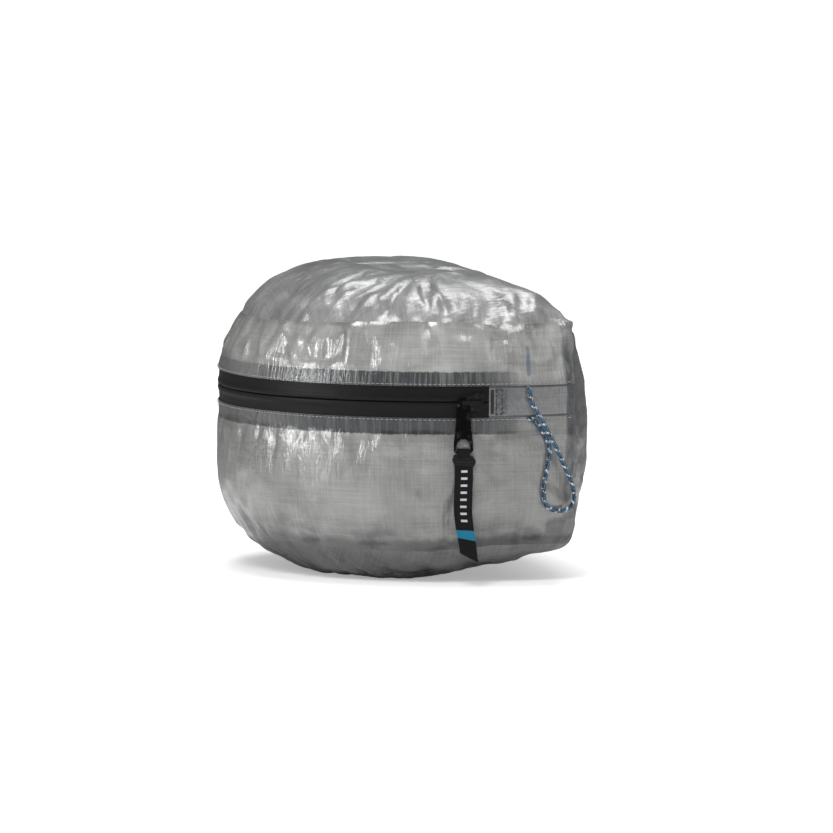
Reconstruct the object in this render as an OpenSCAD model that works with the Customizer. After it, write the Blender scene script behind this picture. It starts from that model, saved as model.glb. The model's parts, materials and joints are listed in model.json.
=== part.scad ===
// Half-moon zipped stuff sack, shown packed full and closed.
// Frame: +Z up, origin on the resting face, under the vertical axis of the zip's arc.
// The curved front faces -Y, the flat back faces +Y, and the zip slider is parked at the +X end.
// "Near" is the +X side and "far" is the -X side.

/* [Sack body] */
// Outer radius of the curved front at the zip
arc_radius = 122; // [116:1:128]
// Distance from the arc's axis back to the upright edges of the flat back
back_y = 42; // [38:1:46]
// Radius of the seam between the top panel and the upper wall
seam_top_radius = 110; // [107:0.5:112]
// Radius of the seam between the bottom panel and the lower wall
seam_low_radius = 109; // [107:0.5:112]
// Height of the lower seam above the resting face
seam_low_z = 17; // [15:0.5:19]
// Height of the upper seam above the resting face
seam_top_z = 134; // [131:0.5:137]
// Rise of the domed top above the upper seam
dome_height = 25.5; // [18:0.5:28]
// Width of the dome's rounded shoulder
dome_width = 55; // [48:1:60]
// Width of the bottom's rounded edge
foot_width = 34; // [30:1:38]
// Bulge of the back panel at its middle
back_bulge = 18; // [10:0.5:20]
// Thickness that stands in for the laminate film
skin = 0.8; // [0.6:0.1:1]

/* [Zip] */
// Height of the zip's centre line
zip_z = 95.7; // [94:0.1:97]
// Half of the zip tape's visible height
zip_show = 8.2; // [7.8:0.1:8.5]
// Half of the zip tape's full height
zip_full = 16; // [14:0.5:16]
// Angle of the near end of the visible zip, measured from +X
zip_end_angle = -3; // [-4:0.1:-1.5]
// Slit between the two tapes
slit = 0.6; // [0.6:0.05:0.8]
// Height of each row of coil
coil_height = 2.3; // [2:0.1:2.6]

/* [Slider and pull] */
// Angle of the closed slider, measured from +X
slider_angle = -6.9; // [-9:0.1:-6]
// Length of the slider along the zip
slider_length = 13.4; // [12:0.2:14]
// Width of the slider across the zip
slider_width = 9.6; // [9:0.2:10]
// Length of the pull tab from its pivot to the middle of the ribbon bar
tab_length = 25.5; // [25:0.1:29]
// Width of the pull tab at the ribbon end
tab_width = 9.9; // [9.5:0.1:10.5]
// Length of the ribbon below the tab
ribbon_length = 55; // [40:0.5:55]
// Width of the ribbon
ribbon_width = 9.5; // [8:0.1:10]

/* [Hang cord] */
// Diameter of the cord
cord_dia = 2.3; // [2:0.1:2.5]
// Angle of the cord's two sewn ends, measured from +X
cord_angle = 7.6; // [7:0.1:9]
// Drop of the cord loop below its upper end
cord_drop = 65; // [50:0.5:66]

/* [Hidden] */
$fn = 96;
gap = 0.15;                // clearance between neighbouring sewn pieces
cut_size = 400;            // side of the blocks used for cutting, larger than the sack
draw_in_low_z = 60;        // the wall draws in below this height
draw_in_top_z = zip_z + 8.8; // and above this one
tape_inset = skin + 0.1;   // outer face of the tape, inside the wall's outer face
tape_thick = 0.7;
coil_thick = 1.6;
coil_radius = arc_radius - skin - tape_thick - 0.2; // outer face of the coil
// heights shared by the upper wall and its tape, so that the two stay parallel
upper_tape_zs = [draw_in_top_z, zip_z + 12, zip_z + zip_full];

// ---------- shared shapes ----------

// Outer radius of the curved wall at height z: straight at the zip, drawn in towards both seams.
function wall_radius(z) =
    z > draw_in_top_z
        ? arc_radius - (arc_radius - seam_top_radius)
            * pow((z - draw_in_top_z) / (seam_top_z - draw_in_top_z), 1.3)
    : z < draw_in_low_z
        ? arc_radius - (arc_radius - seam_low_radius)
            * pow((draw_in_low_z - z) / (draw_in_low_z - seam_low_z), 2.6)
    : arc_radius;

// Half the width of the flat back's chord across a circle of this radius.
function half_chord(radius) = sqrt(pow(radius, 2) - pow(back_y, 2));

// Numbers from start to end in equal steps.
function steps(start, end, count) = [for (i = [0:count]) start + (end - start) * i / count];

function reversed(list) = [for (i = [len(list) - 1:-1:0]) list[i]];

// Two triangles that fill the quad a, b, c, d.
function quad(a, b, c, d) = [[a, b, c], [a, c, d]];

// Profile of a strip that follows the wall, between two insets from the wall's outer face.
function strip(zs, outer, inner) = concat(
    [for (z = zs) [wall_radius(z) - outer, z]],
    [for (z = reversed(zs)) [wall_radius(z) - inner, z]]);

// Removes everything behind the flat back.
module trim_back(y = back_y) {
    difference() {
        children();
        translate([-cut_size / 2, y, -1]) cube([cut_size, cut_size, cut_size]);
    }
}

// Wall panel round the whole curved front.
module wall_band(zs) {
    trim_back() rotate_extrude() polygon(strip(zs, 0, skin));
}

// A profile swept between two angles.
module arc_band(start, end, profile) {
    rotate([0, 0, start]) rotate_extrude(angle = end - start) polygon(profile);
}

// A profile swept round the front, ending at the same angle from +X and from -X.
module front_band(end, profile) {
    arc_band(-180 - end, end, profile);
}

// Moves a shape built at angle 0 (X outward, Y along the zip, Z up) round the arc.
module at_angle(angle) {
    rotate([0, 0, angle]) children();
}

// Mirrors a near-side piece to the far side when side is -1.
module on_side(side) {
    mirror([side < 0 ? 1 : 0, 0, 0]) children();
}

// ---------- fabric panels ----------

moon_arc_points = 48;
moon_edge_points = 14;

// Half-moon outline with its straight edge at edge_y, anticlockwise.
function moon(radius, edge_y) =
    let (lean = asin(edge_y / radius), half = radius * cos(lean))
    concat(
        [for (i = [0:moon_arc_points - 1])
            let (angle = 180 - lean + (180 + 2 * lean) * i / moon_arc_points)
            [radius * cos(angle), radius * sin(angle)]],
        [for (i = [0:moon_edge_points - 1]) [half - 2 * half * i / moon_edge_points, edge_y]]);

// Rounded edge as [inset, rise] pairs; spacing crowds them to the rim, power sets the roundness.
function rounded_edge(count, width, height, spacing, power) =
    [for (i = [0:count])
        let (inset = width * pow(i / count, spacing))
        [inset, height * (1 - pow(1 - inset / width, power))]];

// Closed shell over a half-moon, from its rim inwards to a flat middle.
// rows holds [inset, lower z, upper z] for each ring; the last ring is closed flat.
module moon_shell(radius, rows) {
    count = moon_arc_points + moon_edge_points;
    last = len(rows) - 1;
    under = count * len(rows);     // index of the first point of the underside
    centre = 2 * under;            // index of the upper middle point, the lower one follows
    middle_y = (back_y - radius) / 2;
    function level(column) =
        [for (row = rows) for (point = moon(radius - row[0], back_y - row[0]))
            [point[0], point[1], row[column]]];
    function next(i) = (i + 1) % count;
    points = concat(level(2), level(1),
        [[0, middle_y, rows[last][2]], [0, middle_y, rows[last][1]]]);
    rings = [for (j = [0:last - 1]) for (i = [0:count - 1])
        let (a = j * count + i, b = j * count + next(i))
        each concat(
            quad(a, a + count, b + count, b),
            quad(under + a, under + b, under + b + count, under + a + count))];
    ends = [for (i = [0:count - 1])
        let (a = last * count + i, b = last * count + next(i))
        each concat(
            [[b, a, centre], [under + a, under + b, centre + 1]],
            quad(i, next(i), under + next(i), under + i))];
    polyhedron(points = points, faces = concat(rings, ends), convexity = 6);
}

// Top: a half-moon of laminate with a full, rounded shoulder.
module top_panel() {
    rim_z = seam_top_z + gap;
    color([0.62, 0.63, 0.64])
    moon_shell(seam_top_radius, [for (edge = rounded_edge(8, dome_width, dome_height, 1.25, 2.4))
        [edge[0], rim_z + edge[1], rim_z + edge[1] + skin]]);
}

// Bottom: a half-moon with a rounded edge and a flat foot cut at z = 0.
module bottom_panel() {
    overshoot = 0.2;               // the underside dips this far below z = 0 before the cut
    rim_z = seam_low_z - gap;
    drop = rim_z - skin + overshoot;
    color([0.5, 0.5, 0.51])
    difference() {
        moon_shell(seam_low_radius, [for (edge = rounded_edge(6, foot_width, drop, 1.2, 2))
            [edge[0], rim_z - skin - edge[1], rim_z - (drop - overshoot) / drop * edge[1]]]);
        translate([-cut_size / 2, -cut_size / 2, -20]) cube([cut_size, cut_size, 20]);
    }
}

// Back: an upright panel between the two seams, bulged outward.
module back_panel() {
    columns = 22;
    rows = 12;
    // u and v run from -1 to 1 across and up the panel
    function place(i, j, lift) =
        let (u = 2 * i / columns - 1,
             v = 2 * j / rows - 1,
             z = seam_low_z + (seam_top_z - seam_low_z) * j / rows,
             bulge = back_bulge * (1 - pow(abs(u), 2.6)) * (1 - v * v))
        [u * half_chord(wall_radius(z)), back_y + gap + lift + bulge, z];
    // index of a point on the outer (0) or inner (1) face
    function index(face, i, j) = (face * (rows + 1) + j) * (columns + 1) + i;
    points = [for (lift = [skin, 0]) for (j = [0:rows]) for (i = [0:columns]) place(i, j, lift)];
    faces = [for (j = [0:rows - 1]) for (i = [0:columns - 1]) each concat(
        quad(index(0, i, j), index(0, i + 1, j), index(0, i + 1, j + 1), index(0, i, j + 1)),
        quad(index(1, i, j), index(1, i, j + 1), index(1, i + 1, j + 1), index(1, i + 1, j)))];
    level_edges = [for (i = [0:columns - 1]) each concat(
        quad(index(0, i, 0), index(1, i, 0), index(1, i + 1, 0), index(0, i + 1, 0)),
        quad(index(0, i, rows), index(0, i + 1, rows),
             index(1, i + 1, rows), index(1, i, rows)))];
    upright_edges = [for (j = [0:rows - 1]) each concat(
        quad(index(0, 0, j), index(0, 0, j + 1), index(1, 0, j + 1), index(1, 0, j)),
        quad(index(0, columns, j), index(1, columns, j),
             index(1, columns, j + 1), index(0, columns, j + 1)))];
    color([0.55, 0.55, 0.56])
    polyhedron(points = points, faces = concat(faces, level_edges, upright_edges), convexity = 6);
}

// Wall above the zip.
module upper_wall() {
    color([0.66, 0.67, 0.68])
    wall_band(concat([zip_z + zip_show], upper_tape_zs,
        steps(zip_z + zip_full + 4, seam_top_z, 4)));
}

// Wall below the zip.
module lower_wall() {
    color([0.6, 0.61, 0.62])
    wall_band(concat(steps(seam_low_z, draw_in_low_z, 9), [zip_z - zip_show]));
}

// Folded strip that carries the zip line on from the end of the zip to the back seam.
module end_tab(side) {
    start = zip_end_angle + 0.6;
    past_back = 28;                // angle beyond the flat back, where the strip is trimmed
    color([0.64, 0.65, 0.66])
    trim_back() on_side(side)
        arc_band(start, past_back,
            strip([zip_z - zip_show + gap, zip_z + zip_show - gap], 0, skin));
}

// ---------- zip: side is 1 above the slit and -1 below it ----------

// One coated tape. It follows the inside of the wall and runs on under both end tabs;
// the lip over the coil stops at the ends of the visible zip.
module zip_tape(side) {
    radius = arc_radius - tape_inset;
    edge_z = zip_z + side * slit / 2;
    zs = side > 0 ? upper_tape_zs : [zip_z - 5, zip_z - zip_full];
    lip = [[radius - 0.3, edge_z],
           [radius + 0.35, edge_z],
           [radius + 0.5, zip_z + side * 1.2],
           [radius + 0.35, zip_z + side * 2.6],
           [radius - 0.3, zip_z + side * 3.2]];
    color([0.08, 0.08, 0.09]) union() {
        front_band(2 - zip_end_angle,
            strip(concat([edge_z], zs), tape_inset, tape_inset + tape_thick));
        front_band(zip_end_angle, lip);
    }
}

// One row of coil, on the inner face of its tape.
module zip_coil(side) {
    near_z = zip_z + side * slit / 2;
    away_z = near_z + side * coil_height;
    color([0.12, 0.12, 0.13])
    front_band(zip_end_angle - 1,
        [[coil_radius, near_z],
         [coil_radius, away_z],
         [coil_radius - coil_thick * 0.6, away_z],
         [coil_radius - coil_thick, away_z - side * 0.5],
         [coil_radius - coil_thick, near_z + side * 0.3],
         [coil_radius - coil_thick * 0.7, near_z]]);
}

// Two dense bars of thread across the end of the zip, which stop the slider.
module bartack(side) {
    angle = zip_end_angle + 1.35;
    bar = [0.55, 0.9, 12];
    pitch = 1.1;
    color([0.1, 0.1, 0.11])
    at_angle(side > 0 ? angle : 180 - angle)
        for (i = [0:1])
            translate([arc_radius + 0.05, -1 + i * pitch, zip_z - bar[2] / 2]) cube(bar);
}

// Row of topstitching that holds a wall's folded edge to the tape.
module topstitch(side) {
    z = zip_z + side * 9.2;
    inner = wall_radius(z + 0.25) + 0.06;
    outer = inner + 0.35;
    half = 0.2;
    color([0.75, 0.75, 0.76])
    trim_back() rotate_extrude()
        polygon([[inner, z - half], [outer, z - half], [outer, z + half], [inner, z + half]]);
}

// ---------- seam bindings, all inside ----------

binding_width = 9;

// Tape bound over the seam allowance of a half-moon panel.
module moon_binding(seam_radius, z) {
    radius = seam_radius - skin - 0.2;
    edge_y = back_y - 0.25;
    height = 1.6;
    color([0.22, 0.22, 0.24])
    difference() {
        trim_back(edge_y) translate([0, 0, z]) cylinder(r = radius, h = height);
        difference() {
            translate([0, 0, z - 1]) cylinder(r = radius - binding_width, h = height + 2);
            translate([-cut_size / 2, edge_y - binding_width, z - 2])
                cube([cut_size, cut_size, height + 4]);
        }
    }
}

module top_seam_binding() {
    moon_binding(seam_top_radius, seam_top_z - 1.8);
}

module bottom_seam_binding() {
    moon_binding(seam_low_radius, seam_low_z + 0.1);
}

// Tape bound over the upright seam at a corner of the back.
module corner_binding(side) {
    edge_x = half_chord(seam_low_radius - skin) - 1;
    color([0.2, 0.2, 0.22])
    on_side(side)
        translate([edge_x - binding_width, back_y - 1.6, seam_low_z + 2])
            cube([binding_width, 1.4, seam_top_z - seam_low_z - 4.2]);
}

// ---------- hang cord ----------

cord_top_z = zip_z + 7.6;

// Teardrop loop: down the near strand, round the bottom, and back under it to the lower sewn end.
// Each row is [arc length from the sewn ends, share of the drop, height above the wall].
cord_path = [
    [0, 0, 1.4], [1.4, 0.075, 1.7], [4.4, 0.175, 2.6], [8, 0.28, 3.6], [11.6, 0.385, 4],
    [15.3, 0.48, 3.4], [19, 0.59, 2.2], [22.3, 0.71, 1.6], [24.6, 0.83, 1.5], [25.2, 0.9, 1.5],
    [23.4, 0.965, 1.5], [19.4, 1, 1.5], [14.4, 0.985, 1.5], [10.6, 0.935, 1.5], [8.4, 0.86, 1.5],
    [7.7, 0.755, 1.5], [8.8, 0.64, 1.4], [11.2, 0.53, 1.35], [11.6, 0.43, 1.3], [8.2, 0.355, 1.3],
    [3.6, 0.3, 1.35], [0, 0.262, 1.4]];

// A point at an arc length from the cord's sewn ends, at height z, lifted off the wall.
function on_wall(along, z, lift) =
    let (angle = cord_angle + along / arc_radius * 180 / PI, radius = wall_radius(z) + lift)
    [radius * cos(angle), radius * sin(angle), z];

// Catmull-Rom spline between points i and i + 1, at share t.
function spline(points, i, t) =
    let (a = points[max(i - 1, 0)],
         b = points[i],
         c = points[i + 1],
         d = points[min(i + 2, len(points) - 1)])
    0.5 * ((2 * b) + (c - a) * t + (2 * a - 5 * b + 4 * c - d) * t * t
        + (3 * b - a - 3 * c + d) * t * t * t);

function unit(vector) = vector / norm(vector);

// Cord-thick round tube through the points.
module cord(points) {
    sides = 10;
    last = len(points) - 1;
    rings = [for (i = [0:last])
        let (ahead = unit(points[min(i + 1, last)] - points[max(i - 1, 0)]),
             outward = unit([points[i][0], points[i][1], 0]),
             across = unit(cross(ahead, outward)),
             up = cross(across, ahead))
        for (k = [0:sides - 1])
            let (angle = 360 * k / sides)
            points[i] + cord_dia / 2 * (cos(angle) * up + sin(angle) * across)];
    walls = [for (i = [0:last - 1]) for (k = [0:sides - 1])
        let (a = i * sides + k, b = i * sides + (k + 1) % sides)
        each quad(a, b, b + sides, a + sides)];
    caps = [[for (k = [sides - 1:-1:0]) k], [for (k = [0:sides - 1]) last * sides + k]];
    polyhedron(points = rings, faces = concat(walls, caps), convexity = 8);
}

module cord_loop() {
    smooth = concat(
        [for (i = [0:len(cord_path) - 2]) for (t = [0:0.25:0.99]) spline(cord_path, i, t)],
        [cord_path[len(cord_path) - 1]]);
    color([0.1, 0.35, 0.55])
    cord([for (row = smooth) on_wall(row[0], cord_top_z - cord_drop * row[1], row[2])]);
}

// Short end of the cord, held inside the upper wall.
module cord_tail() {
    color([0.1, 0.3, 0.5])
    cord([for (z = steps(zip_z + 17, zip_z + 27.5, 6))
        on_wall(0, z, -skin - cord_dia / 2 - 0.35)]);
}

// ---------- slider and pull, built at angle 0 ----------

plate_thick = 1.5;
plate_x = arc_radius + 0.05;       // inner face of the slider's outer plate
plate_top_x = plate_x + plate_thick;
foot_y = -4.6;                     // the bridge foot that the tab hangs from
tab_x = plate_top_x + 0.3;         // inner face of the tab
tab_thick = 1.2;
bar_z = zip_z - tab_length;        // middle of the bar that holds the ribbon

// Origin on the arc's axis at the zip's height.
module at_slider() {
    at_angle(slider_angle) translate([0, 0, zip_z]) children();
}

// Origin in the middle of the tab's ribbon bar.
module at_bar() {
    at_angle(slider_angle) translate([tab_x + tab_thick / 2, foot_y, bar_z]) children();
}

// Stands a flat outline up against the wall and thickens it outward.
module upright(thick) {
    rotate([90, 0, 90]) linear_extrude(thick) children();
}

// Shield outline, wide at the end that leads when the zip closes.
module shield(length, width, rear) {
    half = [[-length / 2, rear / 2 - 0.8],
            [-length / 2 + 0.9, rear / 2],
            [length * 0.05, width / 2 - 0.5],
            [length * 0.2, width / 2],
            [length / 2 - 1.6, width / 2],
            [length / 2 - 0.2, width / 2 - 1.4]];
    polygon(concat([for (point = half) [point[0], -point[1]]],
        [[length / 2 - 0.9, 0]], reversed(half)));
}

module slider_body() {
    inner_x = coil_radius - coil_thick - 0.35; // outer face of the inner plate
    color([0.06, 0.06, 0.07])
    at_slider() union() {
        // outer plate, stiffened by a low rib on each side
        translate([plate_x, 0, 0]) upright(plate_thick) shield(slider_length, slider_width, 6.4);
        for (side = [-1, 1])
            translate([plate_top_x - 0.1, -1, side * 3.2 - 0.4]) cube([0.35, 5.4, 0.8]);
        // neck through the slit
        translate([inner_x - 0.4, 1.2, -slit / 2 + 0.08])
            cube([plate_x - inner_x + 0.8, 4.2, slit - 0.16]);
        // inner plate and its two flanges, round the coil
        translate([inner_x - 1, 0, 0])
            upright(1) shield(slider_length - 0.6, slider_width - 0.6, 6);
        for (side = [-1, 1])
            translate([inner_x - 0.2, -4.2, side * 3.25 - 0.25]) cube([1.4, 8.6, 0.5]);
    }
}

// Bridge over the outer plate: a flat bar on two round feet.
module slider_bridge() {
    height = 3.3;
    bar_thick = 1.1;
    foot_radius = 0.9;
    other_foot_y = 4.4;
    base_x = plate_top_x + 0.02;
    color([0.07, 0.07, 0.08])
    at_slider() union() {
        for (y = [foot_y, other_foot_y])
            translate([base_x, y, 0]) rotate([0, 90, 0])
                cylinder(r = foot_radius, h = height - 0.5);
        translate([base_x + height - bar_thick, foot_y - foot_radius, -1.2])
            cube([bar_thick, other_foot_y - foot_y + 2 * foot_radius, 2.4]);
    }
}

// Pull tab: an eye round the bridge's foot at the top, and a D hole for the ribbon at the bottom.
module pull_tab() {
    hole_z = bar_z + 0.8;
    hole_radius = 3.5;
    hole_straight = 2.4;
    // [half width, z] from the top down
    half = [[1.6, zip_z + 2.8], [2.9, zip_z + 1.6], [3.3, zip_z], [3.6, zip_z - 7],
            [4.1, zip_z - 14], [tab_width / 2, bar_z + 5], [tab_width / 2, bar_z + 0.6],
            [tab_width / 2 - 1.4, bar_z - 0.8]];
    color([0.05, 0.05, 0.06])
    at_angle(slider_angle) translate([tab_x, foot_y, 0]) difference() {
        upright(tab_thick)
            polygon(concat([for (point = half) [-point[0], point[1]]], reversed(half)));
        // eye
        translate([-1, 0, zip_z]) rotate([0, 90, 0]) cylinder(r = 1.5, h = 4);
        // ribbon hole: a half round over a short straight part
        translate([-1, 0, hole_z + hole_straight]) rotate([0, 90, 0])
            cylinder(r = hole_radius, h = 4);
        translate([-1, -hole_radius, hole_z]) cube([4, 2 * hole_radius, hole_straight]);
        // shallow grip groove down the face
        translate([tab_thick - 0.3, -1.1, zip_z - 17]) cube([1, 2.2, 11]);
    }
}

// Ribbon: a loop round the tab's bar and a double strap hanging from it.
module pull_ribbon() {
    loop_width = 6.2;
    strap_thick = 1.2;
    color([0.04, 0.04, 0.05])
    at_bar() union() {
        rotate([90, 0, 0]) translate([0, 0, -loop_width / 2]) linear_extrude(loop_width)
            difference() {
                circle(r = 1.95);
                circle(r = 1.2);
            }
        translate([-strap_thick / 2, -ribbon_width / 2, -ribbon_length])
            cube([strap_thick, ribbon_width, ribbon_length - 1.5]);
    }
}

// The ribbon's turned-over end, wrapped and sewn round the strap just below the tab.
module ribbon_wrap() {
    color([0.09, 0.09, 0.1])
    at_bar() difference() {
        translate([-1.25, -6, -7.2]) cube([2.7, 12, 4.9]);
        translate([-0.65, -ribbon_width / 2 - 0.05, -8]) cube([1.3, ribbon_width + 0.1, 8]);
    }
}

top_panel();
bottom_panel();
back_panel();
upper_wall();
lower_wall();
zip_tape(1);  // zip_tape_upper
zip_tape(-1);  // zip_tape_lower
zip_coil(1);  // zip_coil_upper
zip_coil(-1);  // zip_coil_lower
end_tab(1);  // end_tab_near
end_tab(-1);  // end_tab_far
bartack(1);  // bartack_near
bartack(-1);  // bartack_far
topstitch(1);  // topstitch_upper
topstitch(-1);  // topstitch_lower
top_seam_binding();
bottom_seam_binding();
corner_binding(1);  // corner_binding_near
corner_binding(-1);  // corner_binding_far
cord_tail();
cord_loop();
slider_body();
slider_bridge();
pull_tab();
pull_ribbon();
ribbon_wrap();
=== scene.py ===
import bpy, bmesh, json, math
import numpy as np
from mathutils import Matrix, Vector, geometry, noise


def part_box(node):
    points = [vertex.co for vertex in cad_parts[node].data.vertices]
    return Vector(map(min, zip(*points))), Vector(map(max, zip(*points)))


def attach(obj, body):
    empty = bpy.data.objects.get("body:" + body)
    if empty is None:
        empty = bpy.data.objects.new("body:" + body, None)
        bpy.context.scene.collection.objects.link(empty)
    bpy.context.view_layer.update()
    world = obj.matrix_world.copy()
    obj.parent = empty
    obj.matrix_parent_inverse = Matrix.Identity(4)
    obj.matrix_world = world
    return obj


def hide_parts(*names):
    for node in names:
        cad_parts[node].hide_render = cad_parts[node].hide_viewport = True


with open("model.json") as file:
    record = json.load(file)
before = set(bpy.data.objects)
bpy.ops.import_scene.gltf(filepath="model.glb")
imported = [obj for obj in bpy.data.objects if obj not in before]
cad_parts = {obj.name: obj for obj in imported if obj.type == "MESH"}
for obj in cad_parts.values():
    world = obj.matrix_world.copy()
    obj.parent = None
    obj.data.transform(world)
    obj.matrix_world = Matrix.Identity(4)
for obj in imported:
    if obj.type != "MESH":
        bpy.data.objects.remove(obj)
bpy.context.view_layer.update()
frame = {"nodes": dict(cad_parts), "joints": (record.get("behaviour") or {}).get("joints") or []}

scene = bpy.context.scene
MM = 0.001

# ------------------------------------------------------------------ sizes, read from the frame (mm)
def bx(node):
    lo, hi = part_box(node)
    return np.array(lo) * 1000.0, np.array(hi) * 1000.0

W_LO, W_HI = bx("lower_wall")
U_LO, U_HI = bx("upper_wall")
T_LO, T_HI = bx("top_panel")
B_LO, B_HI = bx("bottom_panel")
K_LO, K_HI = bx("back_panel")
ARC_R = -W_LO[1]
BACK_Y = W_HI[1]
LOW_Z = W_LO[2]
TOP_Z = U_HI[2]
ZIP_Z = (W_HI[2] + U_LO[2]) / 2.0
SHOW = (U_LO[2] - W_HI[2]) / 2.0
TAPE = bx("zip_tape_upper")[1][2] - ZIP_Z
SEAM_T = -T_LO[1]
SEAM_B = -B_LO[1]
DOME = T_HI[2]
BULGE = K_HI[1] - BACK_Y - 0.95
FULL_Z = 60.0
END_B = 87.3                      # degrees either side of the nose at which the end tabs start
CORNER_B = 90.0 + math.degrees(math.asin(BACK_Y / ARC_R))
DOME_W, FOOT_W = 55.0, 34.0

def smooth(x, a, b):
    t = np.clip((np.asarray(x, float) - a) / (b - a), 0, 1)
    return t * t * (3 - 2 * t)

def wall_r(z):
    z = np.asarray(z, float)
    up = ARC_R - (ARC_R - SEAM_T) * (np.clip(z - ZIP_Z - 8.8, 0, None) / (TOP_Z - ZIP_Z - 8.8)) ** 1.3
    dn = ARC_R - (ARC_R - SEAM_B) * (np.clip(FULL_Z - z, 0, None) / (FULL_Z - LOW_Z)) ** 2.6
    return np.minimum(up, dn)

# ------------------------------------------------------------------ the pouch as one closed grid
beta = np.concatenate([np.linspace(-CORNER_B, -END_B, 17)[:-1], np.linspace(-END_B, END_B, 129)[:-1],
                       np.linspace(END_B, CORNER_B, 17)])
NA, NB = len(beta) - 1, 72
N = NA + NB

def ring(r, y, z, bulge=0.0):
    """One closed row: the arc from the far corner round the nose to the near corner, then the back."""
    full = 90.0 + math.degrees(math.asin(y / r))
    b = np.radians(beta * full / CORNER_B)
    arc = np.stack([r * np.sin(b), -r * np.cos(b), np.full(NA + 1, z)], 1)
    xc = arc[-1, 0]
    u = 1 - 2 * np.arange(1, NB) / NB
    back = np.stack([xc * u, y + bulge * (1 - np.abs(u) ** 2.6), np.full(NB - 1, z)], 1)
    return np.concatenate([arc, back])

def dome_h(s):
    return (DOME - TOP_Z) * (1 - (1 - np.clip(s / DOME_W, 0, 1)) ** 2.4)

def foot_h(s):
    return LOW_Z * (1 - (1 - np.clip(s / FOOT_W, 0, 1)) ** 2)

rows, kinds = [], []
for s in np.linspace(44.0, 0.0, 16)[:-1]:
    rows.append(ring(SEAM_B - s, BACK_Y - s, LOW_Z - foot_h(s))); kinds.append("bottom")
zs = np.concatenate([np.linspace(LOW_Z, ZIP_Z - TAPE, 22)[:-1], np.linspace(ZIP_Z - TAPE, ZIP_Z - SHOW, 4)[:-1],
                     np.linspace(ZIP_Z - SHOW, ZIP_Z + SHOW, 7)[:-1], np.linspace(ZIP_Z + SHOW, ZIP_Z + TAPE, 4)[:-1],
                     np.linspace(ZIP_Z + TAPE, TOP_Z, 10)])
for z in zs:
    v = 2 * (z - LOW_Z) / (TOP_Z - LOW_Z) - 1
    rows.append(ring(float(wall_r(z)), BACK_Y, z, BULGE * (1 - v * v)))
    kinds.append("low" if z < ZIP_Z - SHOW - 0.01 else "zip" if z < ZIP_Z + SHOW - 0.01 else "up")
for s in np.linspace(0.0, 48.0, 19)[1:]:
    rows.append(ring(SEAM_T - s, BACK_Y - s, TOP_Z + dome_h(s))); kinds.append("top")
R = len(rows)
P = np.concatenate(rows)
r_low = kinds.index("low")
r_top = len(kinds) - 18 - 1
kinds[r_top] = "seam"

BOTTOM, LOWER, ZIP, TAB_N, TAB_F, UPPER, TOP, BACK = range(8)
faces, part = [], []
for k in range(R - 1):
    for i in range(N):
        j = (i + 1) % N
        faces.append((k * N + i, k * N + j, (k + 1) * N + j, (k + 1) * N + i))
        if k < r_low:
            part.append(BOTTOM)
        elif k >= r_top:
            part.append(TOP)
        elif i >= NA:
            part.append(BACK)
        elif kinds[k] == "low":
            part.append(LOWER)
        elif kinds[k] == "zip":
            part.append(TAB_F if i < 16 else TAB_N if i >= NA - 16 else ZIP)
        else:
            part.append(UPPER)

def cap(row, up, which):
    """Fills the middle of a half-moon row with an even triangle mesh."""
    global P
    loop = rows[row][:, :2]
    z = rows[row][0, 2]
    lo, hi = loop.min(0), loop.max(0)
    pts, step = [], 3.4
    yy, odd = lo[1], 0
    while yy < hi[1]:
        xx = lo[0] + (step / 2 if odd else 0)
        while xx < hi[0]:
            q = np.array([xx, yy])
            a, b = loop, np.roll(loop, -1, 0)
            side = (b[:, 0] - a[:, 0]) * (yy - a[:, 1]) - (b[:, 1] - a[:, 1]) * (xx - a[:, 0])
            if side.min() > 0 and np.linalg.norm(loop - q, axis=1).min() > 2.2:
                pts.append(q)
            xx += step
        yy += step * 0.866
        odd = 1 - odd
    co = [Vector(p) for p in loop] + [Vector(p) for p in pts]
    out = geometry.delaunay_2d_cdt(co, [], [list(range(N))], 1, 1e-6)
    base = len(P)
    idx = []
    for n, src in enumerate(out[3]):
        idx.append(row * N + src[0] if src and src[0] < N else base + (src[0] - N if src else n - N))
    P = np.concatenate([P, np.array([[p[0], p[1], z] for p in pts])])
    for f in out[2]:
        f = [idx[v] for v in f]
        a, b, c = P[f[0]], P[f[1]], P[f[2]]
        ccw = (b[0] - a[0]) * (c[1] - a[1]) - (b[1] - a[1]) * (c[0] - a[0]) > 0
        faces.append(tuple(f if ccw == up else f[::-1]))
        part.append(which)

cap(0, False, BOTTOM)
cap(R - 1, True, TOP)

row_of = np.concatenate([np.repeat(np.arange(R), N), np.full(len(P) - R * N, -1)])
col_of = np.concatenate([np.tile(np.arange(N), R), np.full(len(P) - R * N, -1)])

# ------------------------------------------------------------------ noise in code
def nz(Q, scale, seed=0.0):
    """Gradient noise, about -1..1, at points Q (mm), with features about `scale` mm across."""
    off = Vector((seed * 7.31, seed * 3.17 + 1.7, seed * 5.11 - 2.3))
    return np.array([noise.noise(Vector(q) + off) for q in Q / scale])

def ridge(Q, scale, seed=0.0, p=1.0):
    """Sharp creases: 1 on the crease line, falling to 0."""
    return (1 - np.clip(np.abs(nz(Q, scale, seed)) * 2.2, 0, 1)) ** p

def facets(Q, scale, seed=0.0):
    """Crumpled film: flat little plates that meet at sharp folds."""
    off = Vector((seed * 3.7, seed * 9.1, seed * 1.3))
    out = np.empty(len(Q))
    for n, q in enumerate(Q / scale):
        d = noise.voronoi(Vector(q) + off)[0]
        out[n] = d[1] - d[0]
    return np.clip(out, 0, 0.7) / 0.7

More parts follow.
